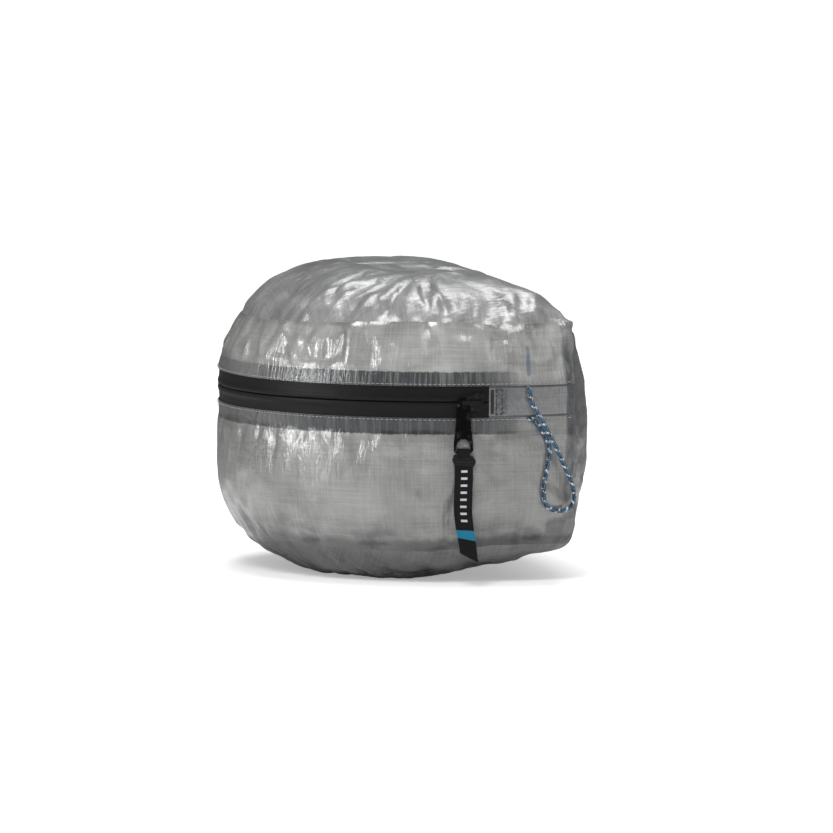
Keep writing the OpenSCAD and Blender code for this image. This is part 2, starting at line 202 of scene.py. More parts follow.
def masks(Q):
    """How free the film is at each point: 0 on the zip band and small on the foot; also the distance from the upright
    axis.
    """
    z = Q[:, 2]
    rad = np.hypot(Q[:, 0], Q[:, 1])
    front = smooth(BACK_Y - Q[:, 1], -1.0, 1.5)
    band = 1 - (1 - smooth(np.abs(z - ZIP_Z), TAPE - 5.0, TAPE + 7.0)) * front
    foot = smooth(z, 0.2, 3.0)
    return band, foot, rad

# the pouch starts as sewn: seams slightly scalloped, film gathered into them
ang = np.arctan2(P[:, 0], -P[:, 1])
per = ang * ARC_R
band, foot, rad = masks(P)
nrm = np.zeros_like(P)
F4 = np.array([f if len(f) == 4 else f + (f[2],) for f in faces])
fn = np.cross(P[F4[:, 2]] - P[F4[:, 0]], P[F4[:, 3]] - P[F4[:, 1]])
for c in range(4):
    np.add.at(nrm, F4[:, c], fn)
nrm /= np.maximum(np.linalg.norm(nrm, axis=1, keepdims=True), 1e-12)

def seam_dist(Q):
    """Distance in mm from the upper and lower seams, measured over the film."""
    rad = np.hypot(Q[:, 0], Q[:, 1])
    s_t = np.where(Q[:, 2] > TOP_Z, np.minimum(SEAM_T - rad, BACK_Y - Q[:, 1]), 0)
    d_t = np.where(Q[:, 2] > TOP_Z, np.clip(s_t, 0, None) * 1.25, TOP_Z - Q[:, 2])
    s_b = np.where(Q[:, 2] < LOW_Z, np.minimum(SEAM_B - rad, BACK_Y - Q[:, 1]), 0)
    d_b = np.where(Q[:, 2] < LOW_Z, np.clip(s_b, 0, None) * 1.25, Q[:, 2] - LOW_Z)
    return d_t, d_b

d_t, d_b = seam_dist(P)
line = np.stack([per, np.zeros_like(per), np.zeros_like(per)], 1)
gather = nz(line, 9.0, 1) * 0.9 + nz(line, 16.0, 2) * 0.8
above = P[:, 2] > TOP_Z
amp = np.where(above, 1.5 * np.exp(-np.abs(d_t - 9) / 17.0), 0.8 * np.exp(-np.abs(d_t - 5) / 7.0)) + 0.7 * np.exp(-np.abs(d_b - 5) / 9.0)
start = P + nrm * ((gather * amp + nz(P, 42.0, 3) * 1.2 + nz(P, 14.0, 4) * 0.4) * band * foot)[:, None]

# ------------------------------------------------------------------ cloth simulation of the filled pouch
def mesh_of(name, verts_mm, fcs):
    me = bpy.data.meshes.new(name)
    me.from_pydata([tuple(v * MM) for v in verts_mm], [], [list(f) for f in fcs])
    me.update()
    return me

def new_object(name, me):
    o = bpy.data.objects.new(name, me)
    scene.collection.objects.link(o)
    return o

def simulate(verts):
    me = mesh_of("pouch_sim", verts, faces)
    o = new_object("pouch_sim", me)
    pin = o.vertex_groups.new(name="pin")
    zip_band = (np.abs(P[:, 2] - ZIP_Z) < TAPE + 0.2) & (col_of <= NA) & (col_of >= 0)
    seams = (row_of == r_low) | (row_of == r_top)
    flat = P[:, 2] < 0.25
    held = zip_band | seams | flat
    pin.add([int(v) for v in np.nonzero(held)[0]], 1.0, "REPLACE")
    md = o.modifiers.new("cloth", "CLOTH")
    st = md.settings
    st.quality = 6
    st.mass = 0.12
    st.air_damping = 2.5
    st.tension_stiffness = st.compression_stiffness = 60
    st.shear_stiffness = 30
    st.bending_stiffness = 0.25
    st.tension_damping = st.compression_damping = st.shear_damping = 8
    st.bending_damping = 0.6
    st.vertex_group_mass = "pin"
    st.pin_stiffness = 1.0
    st.shrink_min = -0.04
    st.use_pressure = True
    st.uniform_pressure_force = 26.0
    st.effector_weights.gravity = 0.0
    md.collision_settings.use_collision = False
    md.collision_settings.use_self_collision = False
    md.point_cache.frame_start, md.point_cache.frame_end = 1, 26
    scene.frame_start, scene.frame_end = 1, 26
    for f in range(1, 27):
        scene.frame_set(f)
    dg = bpy.context.evaluated_depsgraph_get()
    ev = o.evaluated_get(dg).to_mesh()
    out = np.empty(len(ev.vertices) * 3)
    ev.vertices.foreach_get("co", out)
    o.evaluated_get(dg).to_mesh_clear()
    bpy.data.objects.remove(o, do_unlink=True)
    scene.frame_set(1)
    return out.reshape(-1, 3) * 1000.0

shape = simulate(start)
move = shape - P
nbr = np.unique(np.sort(np.concatenate([F4[:, [0, 1]], F4[:, [1, 2]], F4[:, [2, 3]], F4[:, [3, 0]]]), axis=1), axis=0)
nbr = nbr[nbr[:, 0] != nbr[:, 1]]
deg = np.bincount(nbr.ravel(), minlength=len(P)).astype(float)[:, None]

def spread(field, times):
    """Averages a field over neighbouring points, which leaves only its broad part."""
    f = field.copy()
    for _ in range(times):
        acc = np.zeros_like(f)
        np.add.at(acc, nbr[:, 0], f[nbr[:, 1]])
        np.add.at(acc, nbr[:, 1], f[nbr[:, 0]])
        f = 0.5 * f + 0.5 * acc / deg
    return f

# the filled pouch swells as a whole; that broad part comes off again, so the sewn size stays
move = move - spread(move, 60)
size = np.linalg.norm(move, axis=1, keepdims=True)
cap_mm = 4.0
shape = P + move * (np.tanh(size / cap_mm) * cap_mm / np.maximum(size, 1e-9))
shape[:, 2] = np.maximum(shape[:, 2], 0.0)
print("cloth moved, mean and most, mm:", float(size.mean()), float(size.max()))

# ------------------------------------------------------------------ one subdivision, then creases in code
me = mesh_of("pouch", shape, faces)
me.polygons.foreach_set("material_index", part)
for _ in range(8):
    me.materials.append(None)
at = me.attributes.new("crease_edge", "FLOAT", "EDGE")
hard = np.zeros(len(me.edges), np.float32)
ev = np.empty(len(me.edges) * 2, int)
me.edges.foreach_get("vertices", ev)
ev = ev.reshape(-1, 2)
ra, ca = row_of[ev[:, 0]], col_of[ev[:, 0]]
rb, cb = row_of[ev[:, 1]], col_of[ev[:, 1]]
wall_row = (ra >= r_low) & (ra <= r_top) & (rb >= r_low) & (rb <= r_top)
hard[(ra == rb) & (ra == r_low)] = 0.2
hard[(ra == rb) & (ra == r_top)] = 0.45
hard[(ca == cb) & ((ca == 0) | (ca == NA)) & wall_row] = 0.8
at.data.foreach_set("value", hard)
pouch = new_object("pouch", me)
sub = pouch.modifiers.new("sub", "SUBSURF")
sub.levels = sub.render_levels = 1
dg = bpy.context.evaluated_depsgraph_get()
fine = bpy.data.meshes.new_from_object(pouch.evaluated_get(dg), depsgraph=dg)
bpy.data.objects.remove(pouch, do_unlink=True)
nV = len(fine.vertices)
Q = np.empty(nV * 3)
fine.vertices.foreach_get("co", Q)
Q = Q.reshape(-1, 3) * 1000.0
nF = len(fine.polygons)
fpart = np.empty(nF, int)
fine.polygons.foreach_get("material_index", fpart)
FQ = np.empty(len(fine.loops), int)
fine.loops.foreach_get("vertex_index", FQ)
FQ = FQ.reshape(-1, 4)

def normals(Q):
    n = np.zeros_like(Q)
    f = np.cross(Q[FQ[:, 2]] - Q[FQ[:, 0]], Q[FQ[:, 3]] - Q[FQ[:, 1]])
    for c in range(4):
        np.add.at(n, FQ[:, c], f)
    return n / np.maximum(np.linalg.norm(n, axis=1, keepdims=True), 1e-12)

def on_film(b, m):
    """Point on the sewn shape: b degrees round from the nose, m mm up the film (past the seam it runs over the top)."""
    s_ = max(m - TOP_Z, 0.0) / 1.25
    if m > TOP_Z:
        return at_angle_b(b, SEAM_T - s_, TOP_Z + float(dome_h(s_)))
    return at_angle_b(b, float(wall_r(m)), m)

def at_angle_b(b, r, z):
    b = math.radians(b)
    return np.array([r * math.sin(b), -r * math.cos(b), z])

def fold(Q, n0, path, depth, wide_a, wide_b):
    """One long crease along a path of (b, m): a line of the film pushed in (or out), each flank with its own width."""
    pts = np.array([on_film(*q) for q in path])
    best = np.full(len(Q), 1e9)
    side = np.zeros(len(Q))
    along = np.zeros(len(Q))
    L = np.concatenate([[0], np.cumsum(np.linalg.norm(np.diff(pts, axis=0), axis=1))])
    for k in range(len(pts) - 1):
        a, d = pts[k], pts[k + 1] - pts[k]
        t = np.clip(((Q - a) @ d) / (d @ d), 0, 1)
        c = a + t[:, None] * d
        e = Q - c
        dist = np.linalg.norm(e, axis=1)
        upd = dist < best
        best[upd] = dist[upd]
        side[upd] = np.sign((np.cross(d, n0[upd]) * e[upd]).sum(1))
        along[upd] = (L[k] + t[upd] * (L[k + 1] - L[k])) / L[-1]
    w = np.where(side > 0, wide_a, wide_b)
    prof = np.clip(1 - np.abs(best + wig) / w, 0, 1) ** 1.25
    return depth * prof * smooth(along, -0.08, 0.22) * (1 - smooth(along, 0.78, 1.08))

n0 = normals(Q)
wig = 0.9 * nz(Q, 6.0, 31) + 0.5 * nz(Q, 2.6, 33)
band, foot, rad = masks(Q)
d_t, d_b = seam_dist(Q)
ang = np.arctan2(Q[:, 0], -Q[:, 1])
deg_b = np.degrees(ang)
mer = np.where(Q[:, 2] > TOP_Z, TOP_Z + d_t, np.where(Q[:, 2] < LOW_Z, LOW_Z - d_b, Q[:, 2]))
is_front = smooth(BACK_Y - Q[:, 1], -1.0, 1.5)
on_top = smooth(Q[:, 2], TOP_Z - 1.0, TOP_Z + 3.0)
arc_u = ang * ARC_R
warp = np.stack([arc_u * 0.5 * 0 + nz(Q, 26.0, 11) * 7.0, mer * 0, nz(Q, 26.0, 12) * 9.0], 1)

def tall(su, sm):
    """Film coordinates squeezed so that folds come out su mm across and sm mm tall."""
    w = np.stack([arc_u / su, Q[:, 1] * 0.004, mer / sm], 1)
    back = np.stack([Q[:, 0] / su, Q[:, 1] * 0.004 + 7.0, mer / sm], 1)
    f = is_front[:, None]
    return (w * f + back * (1 - f)) + warp / np.array([su * 1.6, 1.0, sm * 0.7])

near_t = np.exp(-np.abs(d_t) / 24.0)
near_b = np.exp(-np.abs(d_b) / 14.0)
upper = smooth(Q[:, 2], ZIP_Z + TAPE - 2, ZIP_Z + TAPE + 6)
patchy = smooth(nz(Q, 38.0, 14), -0.25, 0.35)                       # parts of the film lie calm

def hump(x, c, w):
    return np.exp(-((x - c) / w) ** 2)

# where the photo shows the film crumpled (the far half, out of sight, is given the same sort of layout)
up_map = 0.26 + 0.95 * hump(deg_b, 33, 14) + 0.55 * hump(deg_b, 53, 4.5) + 0.95 * hump(deg_b, 95, 6) + 0.7 * hump(deg_b, -18, 12) + 0.6 * hump(deg_b, -62, 14)
low_map = 0.13 + 1.15 * hump(deg_b, 35, 11) * hump(Q[:, 2], 60, 25) + 0.35 * hump(deg_b, -34, 16) + 0.25 * hump(deg_b, -80, 12)
top_map = 0.42 + 0.75 * hump(deg_b, 66, 24) + 0.4 * hump(deg_b, 100, 8) + 0.5 * hump(deg_b, -50, 26)
wall_amp = upper * up_map * (0.65 + 0.5 * patchy) + (1 - upper) * low_map * (0.7 + 0.5 * patchy)
top_amp = (0.16 + 1.0 * near_t) * top_map * (0.65 + 0.45 * patchy)
wall_amp = wall_amp * is_front + (0.35 + 0.4 * patchy) * (1 - is_front)
amp = wall_amp * (1 - on_top) + top_amp * on_top
big = ridge(tall(17.0, 44.0), 1.0, 15, 1.0) - 0.45
mid = ridge(tall(8.0, 19.0), 1.0, 16, 1.2) - 0.4
small = ridge(tall(3.8, 8.0), 1.0, 17, 1.0) - 0.45
plates = facets(tall(12.0, 26.0), 1.0, 18) - 0.55
creases = 1.25 * big * amp + 0.62 * mid * amp + 0.20 * small * amp * (0.5 + patchy) + 0.85 * plates * amp

# the long folds seen in the photo: ((b, m), ...), depth, width of each flank
FOLDS = [
    (((61.5, 172), (61, 157), (60, 147), (58.5, 136.5)), -2.3, 3.0, 8.0),
    (((67, 170), (69, 155), (71, 145), (72, 138)), -2.2, 3.0, 7.0),
    (((71, 168), (75, 151), (77, 142), (75.5, 135)), -2.4, 7.0, 3.0),
    (((51, 173), (48, 163), (43, 152.5), (38.5, 143)), -1.8, 4.0, 9.0),
    (((45, 167), (36.5, 153.5), (33.5, 142.5), (33, 135)), 1.7, 5.0, 9.0),
    (((55, 168), (52, 156), (49, 147), (48, 137)), -1.6, 4.0, 7.0),
    (((80.5, 175), (87, 162), (94, 148.5), (96, 137)), -1.3, 12.0, 5.0),
    (((107, 158), (102.5, 146), (100.5, 137), (103.5, 130)), 2.0, 4.0, 9.0),
    (((96, 156), (94.5, 146), (93.5, 138), (92, 131)), -2.2, 7.0, 4.0),
    (((103, 141), (109, 136), (112, 134)), -1.8, 4.0, 6.0),
    (((23, 186), (21, 166), (19, 141)), -1.0, 9.0, 9.0),
    (((8, 176), (5, 158), (2, 140)), -1.2, 7.0, 9.0),
    (((15.5, 131), (19, 124), (22.5, 118)), 1.3, 3.5, 7.0),
    (((27, 131), (32, 121), (37, 111)), 2.0, 5.0, 8.0),
    (((36, 132), (36.5, 124), (41, 113)), -1.3, 3.0, 6.0),
    (((49.5, 133.5), (51.5, 121), (52, 109)), 2.1, 4.5, 8.0),
    (((57.5, 131), (57, 121), (56, 112)), -1.2, 3.0, 6.0),
    (((62.5, 124), (64, 113)), 1.0, 2.5, 4.0),
    (((72, 133), (74, 125)), 1.1, 3.0, 5.0),
    (((94.5, 130), (92, 120), (91, 113)), 1.5, 4.0, 7.0),
    (((97, 120), (95.5, 110)), 1.0, 3.0, 4.0),
    (((104, 131), (106, 118), (105, 108)), -1.6, 4.0, 7.0),
    (((31, 78), (34.5, 63), (33, 50)), 0.9, 3.0, 7.0),
    (((37.5, 72), (41, 57), (39.5, 44)), 0.9, 3.0, 6.0),
    (((35, 66), (37.5, 54)), -0.7, 2.5, 4.0),
    (((46.5, 80), (48, 70)), 0.8, 2.0, 4.0),
    (((107, 92), (106, 74), (108, 56), (106, 40)), -1.5, 4.0, 7.0),
    (((111, 120), (110.5, 96), (111, 70)), -1.0, 3.0, 5.0),
    (((-20, 170), (-24, 150), (-23, 128)), -1.5, 5.0, 9.0),
    (((-52, 168), (-55, 150), (-53, 130)), 1.5, 5.0, 8.0),
    (((-80, 166), (-84, 148), (-82, 126)), -1.6, 5.0, 8.0),
    (((-34, 70), (-37, 52), (-35, 38)), 0.9, 3.0, 7.0),
]
marks = np.zeros(nV)
for path, depth, wa, wb in FOLDS:
    marks += fold(Q, n0, path, depth, wa, wb)

scallop = 0.45 + 0.55 * smooth(nz(np.stack([arc_u, Q[:, 1] * 0, Q[:, 1] * 0], 1), 17.0, 19), -0.2, 0.4)
seam_pull = -0.05 * scallop * np.exp(-(d_t / 1.8) ** 2) - 0.2 * scallop * np.exp(-(d_b / 2.0) ** 2)
fade = (0.25 + 0.75 * smooth(np.abs(d_t), 0.0, 4.0)) * smooth(np.abs(d_b), 0.0, 4.0)
dents = 0.9 * nz(Q, 30.0, 41) + 0.9 * nz(Q, 54.0, 42)
disp = (creases * fade + marks * (0.35 + 0.65 * fade) + dents * smooth(np.abs(d_t), 0, 12) * smooth(np.abs(d_b), 0, 12)) * band * foot + seam_pull * foot
flat_uv = Q.copy()
Q = Q + n0 * disp[:, None]

# the lower wall stays behind the hanging pull, wherever the slider stands
rr = np.hypot(Q[:, 0], Q[:, 1])
limit = 0.75 - 0.60 * smooth(deg_b, 70, 76) * (1 - smooth(deg_b, 106, 112))
over = rr - wall_r(np.clip(Q[:, 2], LOW_Z, TOP_Z)) - (limit - 0.5)
soft = np.where(over > 0, 0.5 * (1 - np.exp(-np.clip(over, 0, None) / 0.5)), over)
low_wall = is_front * smooth(Q[:, 2], LOW_Z, LOW_Z + 6) * (1 - smooth(Q[:, 2], ZIP_Z - SHOW - 1, ZIP_Z - SHOW))
new_r = rr + (soft - over) * low_wall
Q[:, 0] *= new_r / np.maximum(rr, 1e-6)
Q[:, 1] *= new_r / np.maximum(rr, 1e-6)

# the filled sack draws its top seam up a little at the front, and stands out at the near top corner
lift = 3.0 * np.exp(-((deg_b - 66) / 26.0) ** 2) * np.exp(-(np.clip(mer - TOP_Z, 0, None) / 22.0) ** 2) * smooth(mer, ZIP_Z + TAPE + 1, TOP_Z) * is_front
Q[:, 2] += lift
for sx, k in ((1, 1.0), (-1, 0.6)):
    c = np.array([sx * 101.6, BACK_Y, TOP_Z])
    g = k * np.exp(-(np.linalg.norm(flat_uv - c, axis=1) / 24.0) ** 2) * smooth(mer, ZIP_Z + TAPE + 1, TOP_Z)
    Q += g[:, None] * np.array([sx * 0.8, 1.3, 1.3])
high = np.clip(Q[:, 2] - TOP_Z, 0, None)
across = 0.208 * Q[:, 0] + 0.978 * Q[:, 1]
# the filled underside curves up towards the back, and a little at the nose
under = 8.4 * smooth(across, -26.0, 34.0) + 3.2 * smooth(-across, 64.0, 96.0)
flat_z = flat_uv[:, 2]
keep = np.where(flat_z < LOW_Z, 1 - 0.65 * smooth(flat_z, 0.0, LOW_Z), 0.35 * (1 - smooth(flat_z, LOW_Z, 62.0)))
Q[:, 2] += under * keep
Q[:, 2] -= 2.7 * smooth(high, 12.0, 25.0) * (0.25 + 0.75 * smooth(across, -72.0, -18.0))
Q[:, 1] += 1.6 * smooth(Q[:, 1], BACK_Y, BACK_Y + 12.0)
Q[:, 2] = np.maximum(Q[:, 2], 0.0)

# ------------------------------------------------------------------ film coordinates, in mm, for the weave
CX, CY = rad * 0, rad * 0

def film_uv(which, q):
    if which in (TOP, BOTTOM):
        return q[:, 0], q[:, 1]
    if which == BACK:
        return q[:, 0], q[:, 2]
    return np.arctan2(q[:, 0], -q[:, 1]) * ARC_R, q[:, 2]

names = {BOTTOM: "bottom_film", LOWER: "lower_wall_film", TAB_N: "end_tab_near_film", TAB_F: "end_tab_far_film",
         UPPER: "upper_wall_film", TOP: "top_film", BACK: "back_film"}
nodes = {BOTTOM: "bottom_panel", LOWER: "lower_wall", TAB_N: "end_tab_near", TAB_F: "end_tab_far",
         UPPER: "upper_wall", TOP: "top_panel", BACK: "back_panel"}
slots = {BOTTOM: "laminate_wall", LOWER: "laminate_wall", TAB_N: "laminate_wall", TAB_F: "laminate_wall",
         UPPER: "laminate_wall", TOP: "laminate_top", BACK: "laminate_wall"}

def finish_piece(o, body, slot_name, mat, *cad):
    for p in o.data.polygons:
        p.use_smooth = True
    o.data.materials.clear()
    o.data.materials.append(mat)
    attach(o, body)
    if cad:
        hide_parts(*cad)
    return o

# ------------------------------------------------------------------ materials
class Tree:
    def __init__(self, name):
        self.m = bpy.data.materials.new(name)
        self.m.use_nodes = True
        self.t = self.m.node_tree
        self.bsdf = self.t.nodes["Principled BSDF"]

    def node(self, kind, ins=None, **props):
        n = self.t.nodes.new(kind)
        for k, v in props.items():
            setattr(n, k, v)
        for k, v in (ins or {}).items():
            self.put(n.inputs[k], v)
        return n

    def put(self, sock, v):
        if isinstance(v, bpy.types.NodeSocket):
            self.t.links.new(v, sock)
        else:
            sock.default_value = v

    def math(self, op, a, b=0.0, c=0.0, clamp=False):
        n = self.node("ShaderNodeMath", operation=op, use_clamp=clamp)
        for s, v in zip(n.inputs, (a, b, c)):
            self.put(s, v)
        return n.outputs[0]

    def add(self, a, b): return self.math("ADD", a, b)
    def mul(self, a, b): return self.math("MULTIPLY", a, b)
    def sub(self, a, b): return self.math("SUBTRACT", a, b)
    def absol(self, a): return self.math("ABSOLUTE", a)

    def step(self, x, a, b):
        """Smooth 0..1 as x goes from a to b."""
        n = self.node("ShaderNodeMapRange", {"Value": x, "From Min": a, "From Max": b}, interpolation_type="SMOOTHSTEP")
        return n.outputs["Result"]

    def vec(self, x, y, z=0.0):
        return self.node("ShaderNodeCombineXYZ", {"X": x, "Y": y, "Z": z}).outputs[0]

    def noise(self, v, scale=1.0, detail=3.0, rough=0.55, dist=0.0):
        return self.node("ShaderNodeTexNoise", {"Vector": v, "Scale": scale, "Detail": detail, "Roughness": rough, "Distortion": dist}).outputs[0]

    def mix(self, f, a, b):
        n = self.node("ShaderNodeMix", data_type="RGBA")
        self.put(n.inputs[0], f)
        self.put(n.inputs[6], a)
        self.put(n.inputs[7], b)
        return n.outputs[2]

    def bump(self, h, dist, strength=1.0, normal=None):
        ins = {"Height": h, "Distance": dist, "Strength": strength}
        if normal is not None:
            ins["Normal"] = normal
        return self.node("ShaderNodeBump", ins).outputs[0]

    def set(self, **kw):
        for k, v in kw.items():
            self.put(self.bsdf.inputs[k.replace("_", " ")], v)

def film_material(name, kind):
    """Grey translucent laminate: crossed fibres, crinkles, film gloss, the tapes that show through it, and painted
    light and shade on its panels.
    """
    t = Tree(name)
    uv = t.node("ShaderNodeSeparateXYZ", {"Vector": t.node("ShaderNodeUVMap", uv_map="film").outputs[0]})
    u, v = t.mul(uv.outputs[0], 100.0), t.mul(uv.outputs[1], 100.0)      # mm
    pos = t.node("ShaderNodeTexCoord").outputs["Object"]
    # fibres: long thin streaks both ways
    f1 = t.noise(t.vec(t.mul(u, 0.022), t.mul(v, 1.05)), 1.0, 2.0, 0.6)
    f2 = t.noise(t.vec(t.mul(u, 1.05), t.mul(v, 0.022)), 1.0, 2.0, 0.6)
    f3 = t.noise(t.vec(t.mul(u, 2.6), t.mul(v, 0.05)), 1.0, 1.0, 0.5)
    f4 = t.noise(t.vec(t.mul(u, 0.05), t.mul(v, 2.6)), 1.0, 1.0, 0.5)
    fib = t.add(t.add(t.mul(t.sub(f1, 0.5), 0.9), t.mul(t.sub(f2, 0.5), 0.9)), t.add(t.mul(t.sub(f3, 0.5), 0.5), t.mul(t.sub(f4, 0.5), 0.5)))
    cloud = t.noise(pos, 16.0, 4.0, 0.55, 0.6)
    fine = t.noise(pos, 140.0, 3.0, 0.6)
    # base lightness; the bottom film is set darker as painted shade of the underside
    val = t.add({"bottom": 0.14, "top": 0.195}.get(kind, 0.218), t.mul(fib, 0.125))
    val = t.add(val, t.mul(t.sub(cloud, 0.5), 0.20))
    blotch = t.noise(t.vec(t.mul(u, 0.028), t.mul(v, 0.034), 2.0), 1.0, 5.0, 0.62, 0.8)      # soft gear pressed against the inside
    val = t.add(val, t.mul(t.sub(blotch, 0.5), 0.26))
    val = t.add(val, t.mul(t.sub(fine, 0.5), 0.03))
    if kind == "wall":
        # painted light and shade: the upper wall is painted lighter than the lower wall, the lower wall from the front
        # round to the near corner darker
        painted_light_gain = t.add(1.05, t.mul(t.step(v, ZIP_Z - 2.0, ZIP_Z + 2.0), 0.27))
        near = t.mul(t.step(v, ZIP_Z + 2.0, ZIP_Z - 2.0), t.step(u, 150.0, 192.0))
        val = t.mul(val, t.sub(painted_light_gain, t.mul(near, 0.17)))
        # a painted highlight: a band on the front-left of the wall painted lighter
        glow = t.mul(t.step(u, 20.0, 55.0), t.step(u, 125.0, 85.0))
        val = t.mul(val, t.add(1.0, t.mul(glow, 0.13)))
    elif kind == "top":
        # painted light: the lower part of the dome painted lighter than its crest
        zz = t.node("ShaderNodeSeparateXYZ", {"Vector": pos}).outputs[2]
        val = t.mul(val, t.add(1.20, t.mul(t.step(zz, 0.150, 0.141), 0.20)))
    # what shows through the film, with painted shade and painted highlights
    dark = None
    if kind == "wall":
        h = t.absol(t.sub(v, ZIP_Z))
        wob = t.mul(t.sub(t.noise(t.vec(t.mul(u, 0.25), t.mul(v, 0.02)), 1.0, 3.0, 0.7), 0.5), 2.2)
        below = t.step(v, ZIP_Z + 2.0, ZIP_Z - 2.0)
        tape = t.sub(1.0, t.step(t.sub(t.add(h, wob), t.mul(below, 1.4)), TAPE - 1.0, TAPE - 0.2))
        ends = t.sub(1.0, t.step(t.add(t.absol(u), t.mul(wob, 1.6)), math.radians(91.5) * ARC_R, math.radians(96.0) * ARC_R))
        tape = t.mul(tape, ends)
        # the tape band is broken by lighter vertical streaks and lightened about the nose: painted highlights of the
        # film over the tape
        streak = t.noise(t.vec(t.mul(u, 0.55), t.mul(v, 0.03)), 1.0, 3.0, 0.65)
        tape = t.mul(tape, t.add(t.add(0.62, t.mul(below, 0.14)), t.mul(t.step(streak, 0.36, 0.56), t.sub(0.38, t.mul(below, 0.14)))))
        au = t.absol(u)
        fade = t.sub(1.0, t.mul(t.step(au, math.radians(84.0) * ARC_R, math.radians(92.0) * ARC_R), 0.40))
        left = t.add(t.add(0.55, t.mul(below, 0.12)), t.mul(t.step(au, t.add(math.radians(22.0) * ARC_R, t.mul(below, 8.0)), t.add(math.radians(40.0) * ARC_R, t.mul(below, 12.0))), t.sub(0.45, t.mul(below, 0.12))))
        tape = t.mul(tape, t.mul(fade, left))
        # patchy mask for the painted shade along the seams and by the near corner
        patchy_shade = t.step(t.noise(t.vec(t.mul(u, 0.045), t.mul(v, 0.09), 3.0), 1.0, 3.0, 0.6), 0.46, 0.66)
        edge_n = t.mul(t.sub(t.noise(t.vec(t.mul(u, 0.10), t.mul(v, 0.10), 8.0), 1.0, 4.0, 0.65), 0.5), 5.0)
        # dark band along the bottom seam: partly the seam allowance that shows through, partly painted shade, stronger
        # towards the near corner and in patches; then painted shade fading out about 19 mm above the seam
        low = t.mul(t.sub(1.0, t.step(t.add(t.sub(v, LOW_Z), edge_n), 4.0, 8.5)), t.add(t.add(0.46, t.mul(t.step(u, 100.0, 190.0), 0.24)), t.mul(patchy_shade, 0.30)))
        bottom_shade = t.mul(t.mul(t.sub(1.0, t.step(t.add(t.sub(v, LOW_Z), edge_n), 5.0, 19.0)), patchy_shade), 0.46)
        # painted shade: a dark groove painted just under the top seam
        high = t.mul(t.sub(1.0, t.step(t.sub(TOP_Z, v), 0.8, 4.2)), t.add(0.16, t.mul(patchy_shade, 0.34)))
        # dark band at each side corner: the corner binding that shows through, made darker as painted shade of the side
        # edges
        cn = t.mul(t.sub(t.noise(t.vec(t.mul(u, 0.35), t.mul(v, 0.06), 5.0), 1.0, 4.0, 0.7), 0.5), 7.0)
        cu = t.sub(math.radians(CORNER_B) * ARC_R, t.add(au, t.mul(cn, 0.5)))
        corner = t.mul(t.step(cu, 6.6, 4.6), t.add(0.72, t.mul(t.step(cu, 0.6, 1.6), 0.16)))
        corner = t.mul(corner, t.sub(1.0, t.mul(t.step(v, ZIP_Z - 24.0, ZIP_Z - 40.0), 0.42)))
        corner = t.mul(corner, t.sub(1.0, t.mul(t.step(v, ZIP_Z + 20.0, ZIP_Z + 32.0), 0.45)))
        # breaks the corner band into uneven patches
        corner_breakup = t.noise(t.vec(t.mul(u, 0.30), t.mul(v, 0.10), 11.0), 1.0, 4.0, 0.7)
        corner = t.mul(corner, t.add(0.66, t.mul(t.step(corner_breakup, 0.38, 0.56), 0.34)))
        # painted shade: a dark patch low beside the near corner
        corner_shade_spot = t.mul(t.mul(t.step(u, 0.0, 10.0), t.mul(t.step(t.add(cu, t.mul(edge_n, 1.5)), 16.5, 12.0), t.step(t.add(cu, t.mul(edge_n, 0.8)), 1.0, 4.5))), t.mul(t.step(t.add(v, t.mul(edge_n, 1.1)), LOW_Z + 17.0, LOW_Z + 12.5), t.step(v, LOW_Z + 1.0, LOW_Z + 4.5)))
        corner = t.math("MAXIMUM", corner, t.mul(corner_shade_spot, t.add(0.55, t.mul(patchy_shade, 0.32))))
        dark = t.math("MAXIMUM", t.mul(tape, t.add(0.97, t.mul(below, 0.03))), t.math("MAXIMUM", low, t.math("MAXIMUM", bottom_shade, t.math("MAXIMUM", high, corner))))
        # inner tail of the hang cord
        tail_u = math.radians(90 + 7.6) * ARC_R
        tail = t.mul(t.sub(1.0, t.step(t.absol(t.sub(u, tail_u)), 0.3, 1.7)), t.mul(t.step(v, ZIP_Z + 12.0, ZIP_Z + 13.5), t.sub(1.0, t.step(v, ZIP_Z + 27.0, ZIP_Z + 28.0))))
    elif kind == "tab":
        h = t.absol(t.sub(v, ZIP_Z))
        # dark lines along the tab's folded edges: the fold itself, darkened further as painted shade
        line = t.mul(t.step(h, SHOW - 1.5, SHOW - 0.8), 0.9)
        a = t.absol(u)
        edge = math.radians(END_B) * ARC_R
        pn = t.noise(t.vec(t.mul(u, 0.5), t.mul(v, 0.5)), 1.0, 3.0, 0.7)
        pe = t.add(a, t.mul(t.sub(pn, 0.5), 2.5))
        patch = t.mul(t.mul(t.step(pe, edge + 2.8, edge + 3.8), t.sub(1.0, t.step(pe, edge + 8.8, edge + 11.5))), t.add(0.55, t.mul(t.step(pn, 0.36, 0.56), 0.45)))
        patch = t.mul(patch, t.step(h, SHOW - 0.9, SHOW - 2.2))
        tape = t.add(t.mul(t.sub(1.0, t.step(a, edge + 10.0, edge + 26.0)), 0.26), 0.12)
        # corner band as on the wall: binding that shows through, made darker as painted shade
        cu = t.sub(math.radians(CORNER_B) * ARC_R, t.add(a, t.mul(t.sub(t.noise(t.vec(t.mul(u, 0.35), t.mul(v, 0.06), 5.0), 1.0, 4.0, 0.7), 0.5), 3.5)))
        corner = t.mul(t.step(cu, 6.6, 4.6), t.add(0.72, t.mul(t.step(cu, 0.6, 1.6), 0.16)))
        dark = t.math("MAXIMUM", t.math("MAXIMUM", line, corner), t.math("MAXIMUM", t.mul(patch, 0.85), tape))
    elif kind == "top":
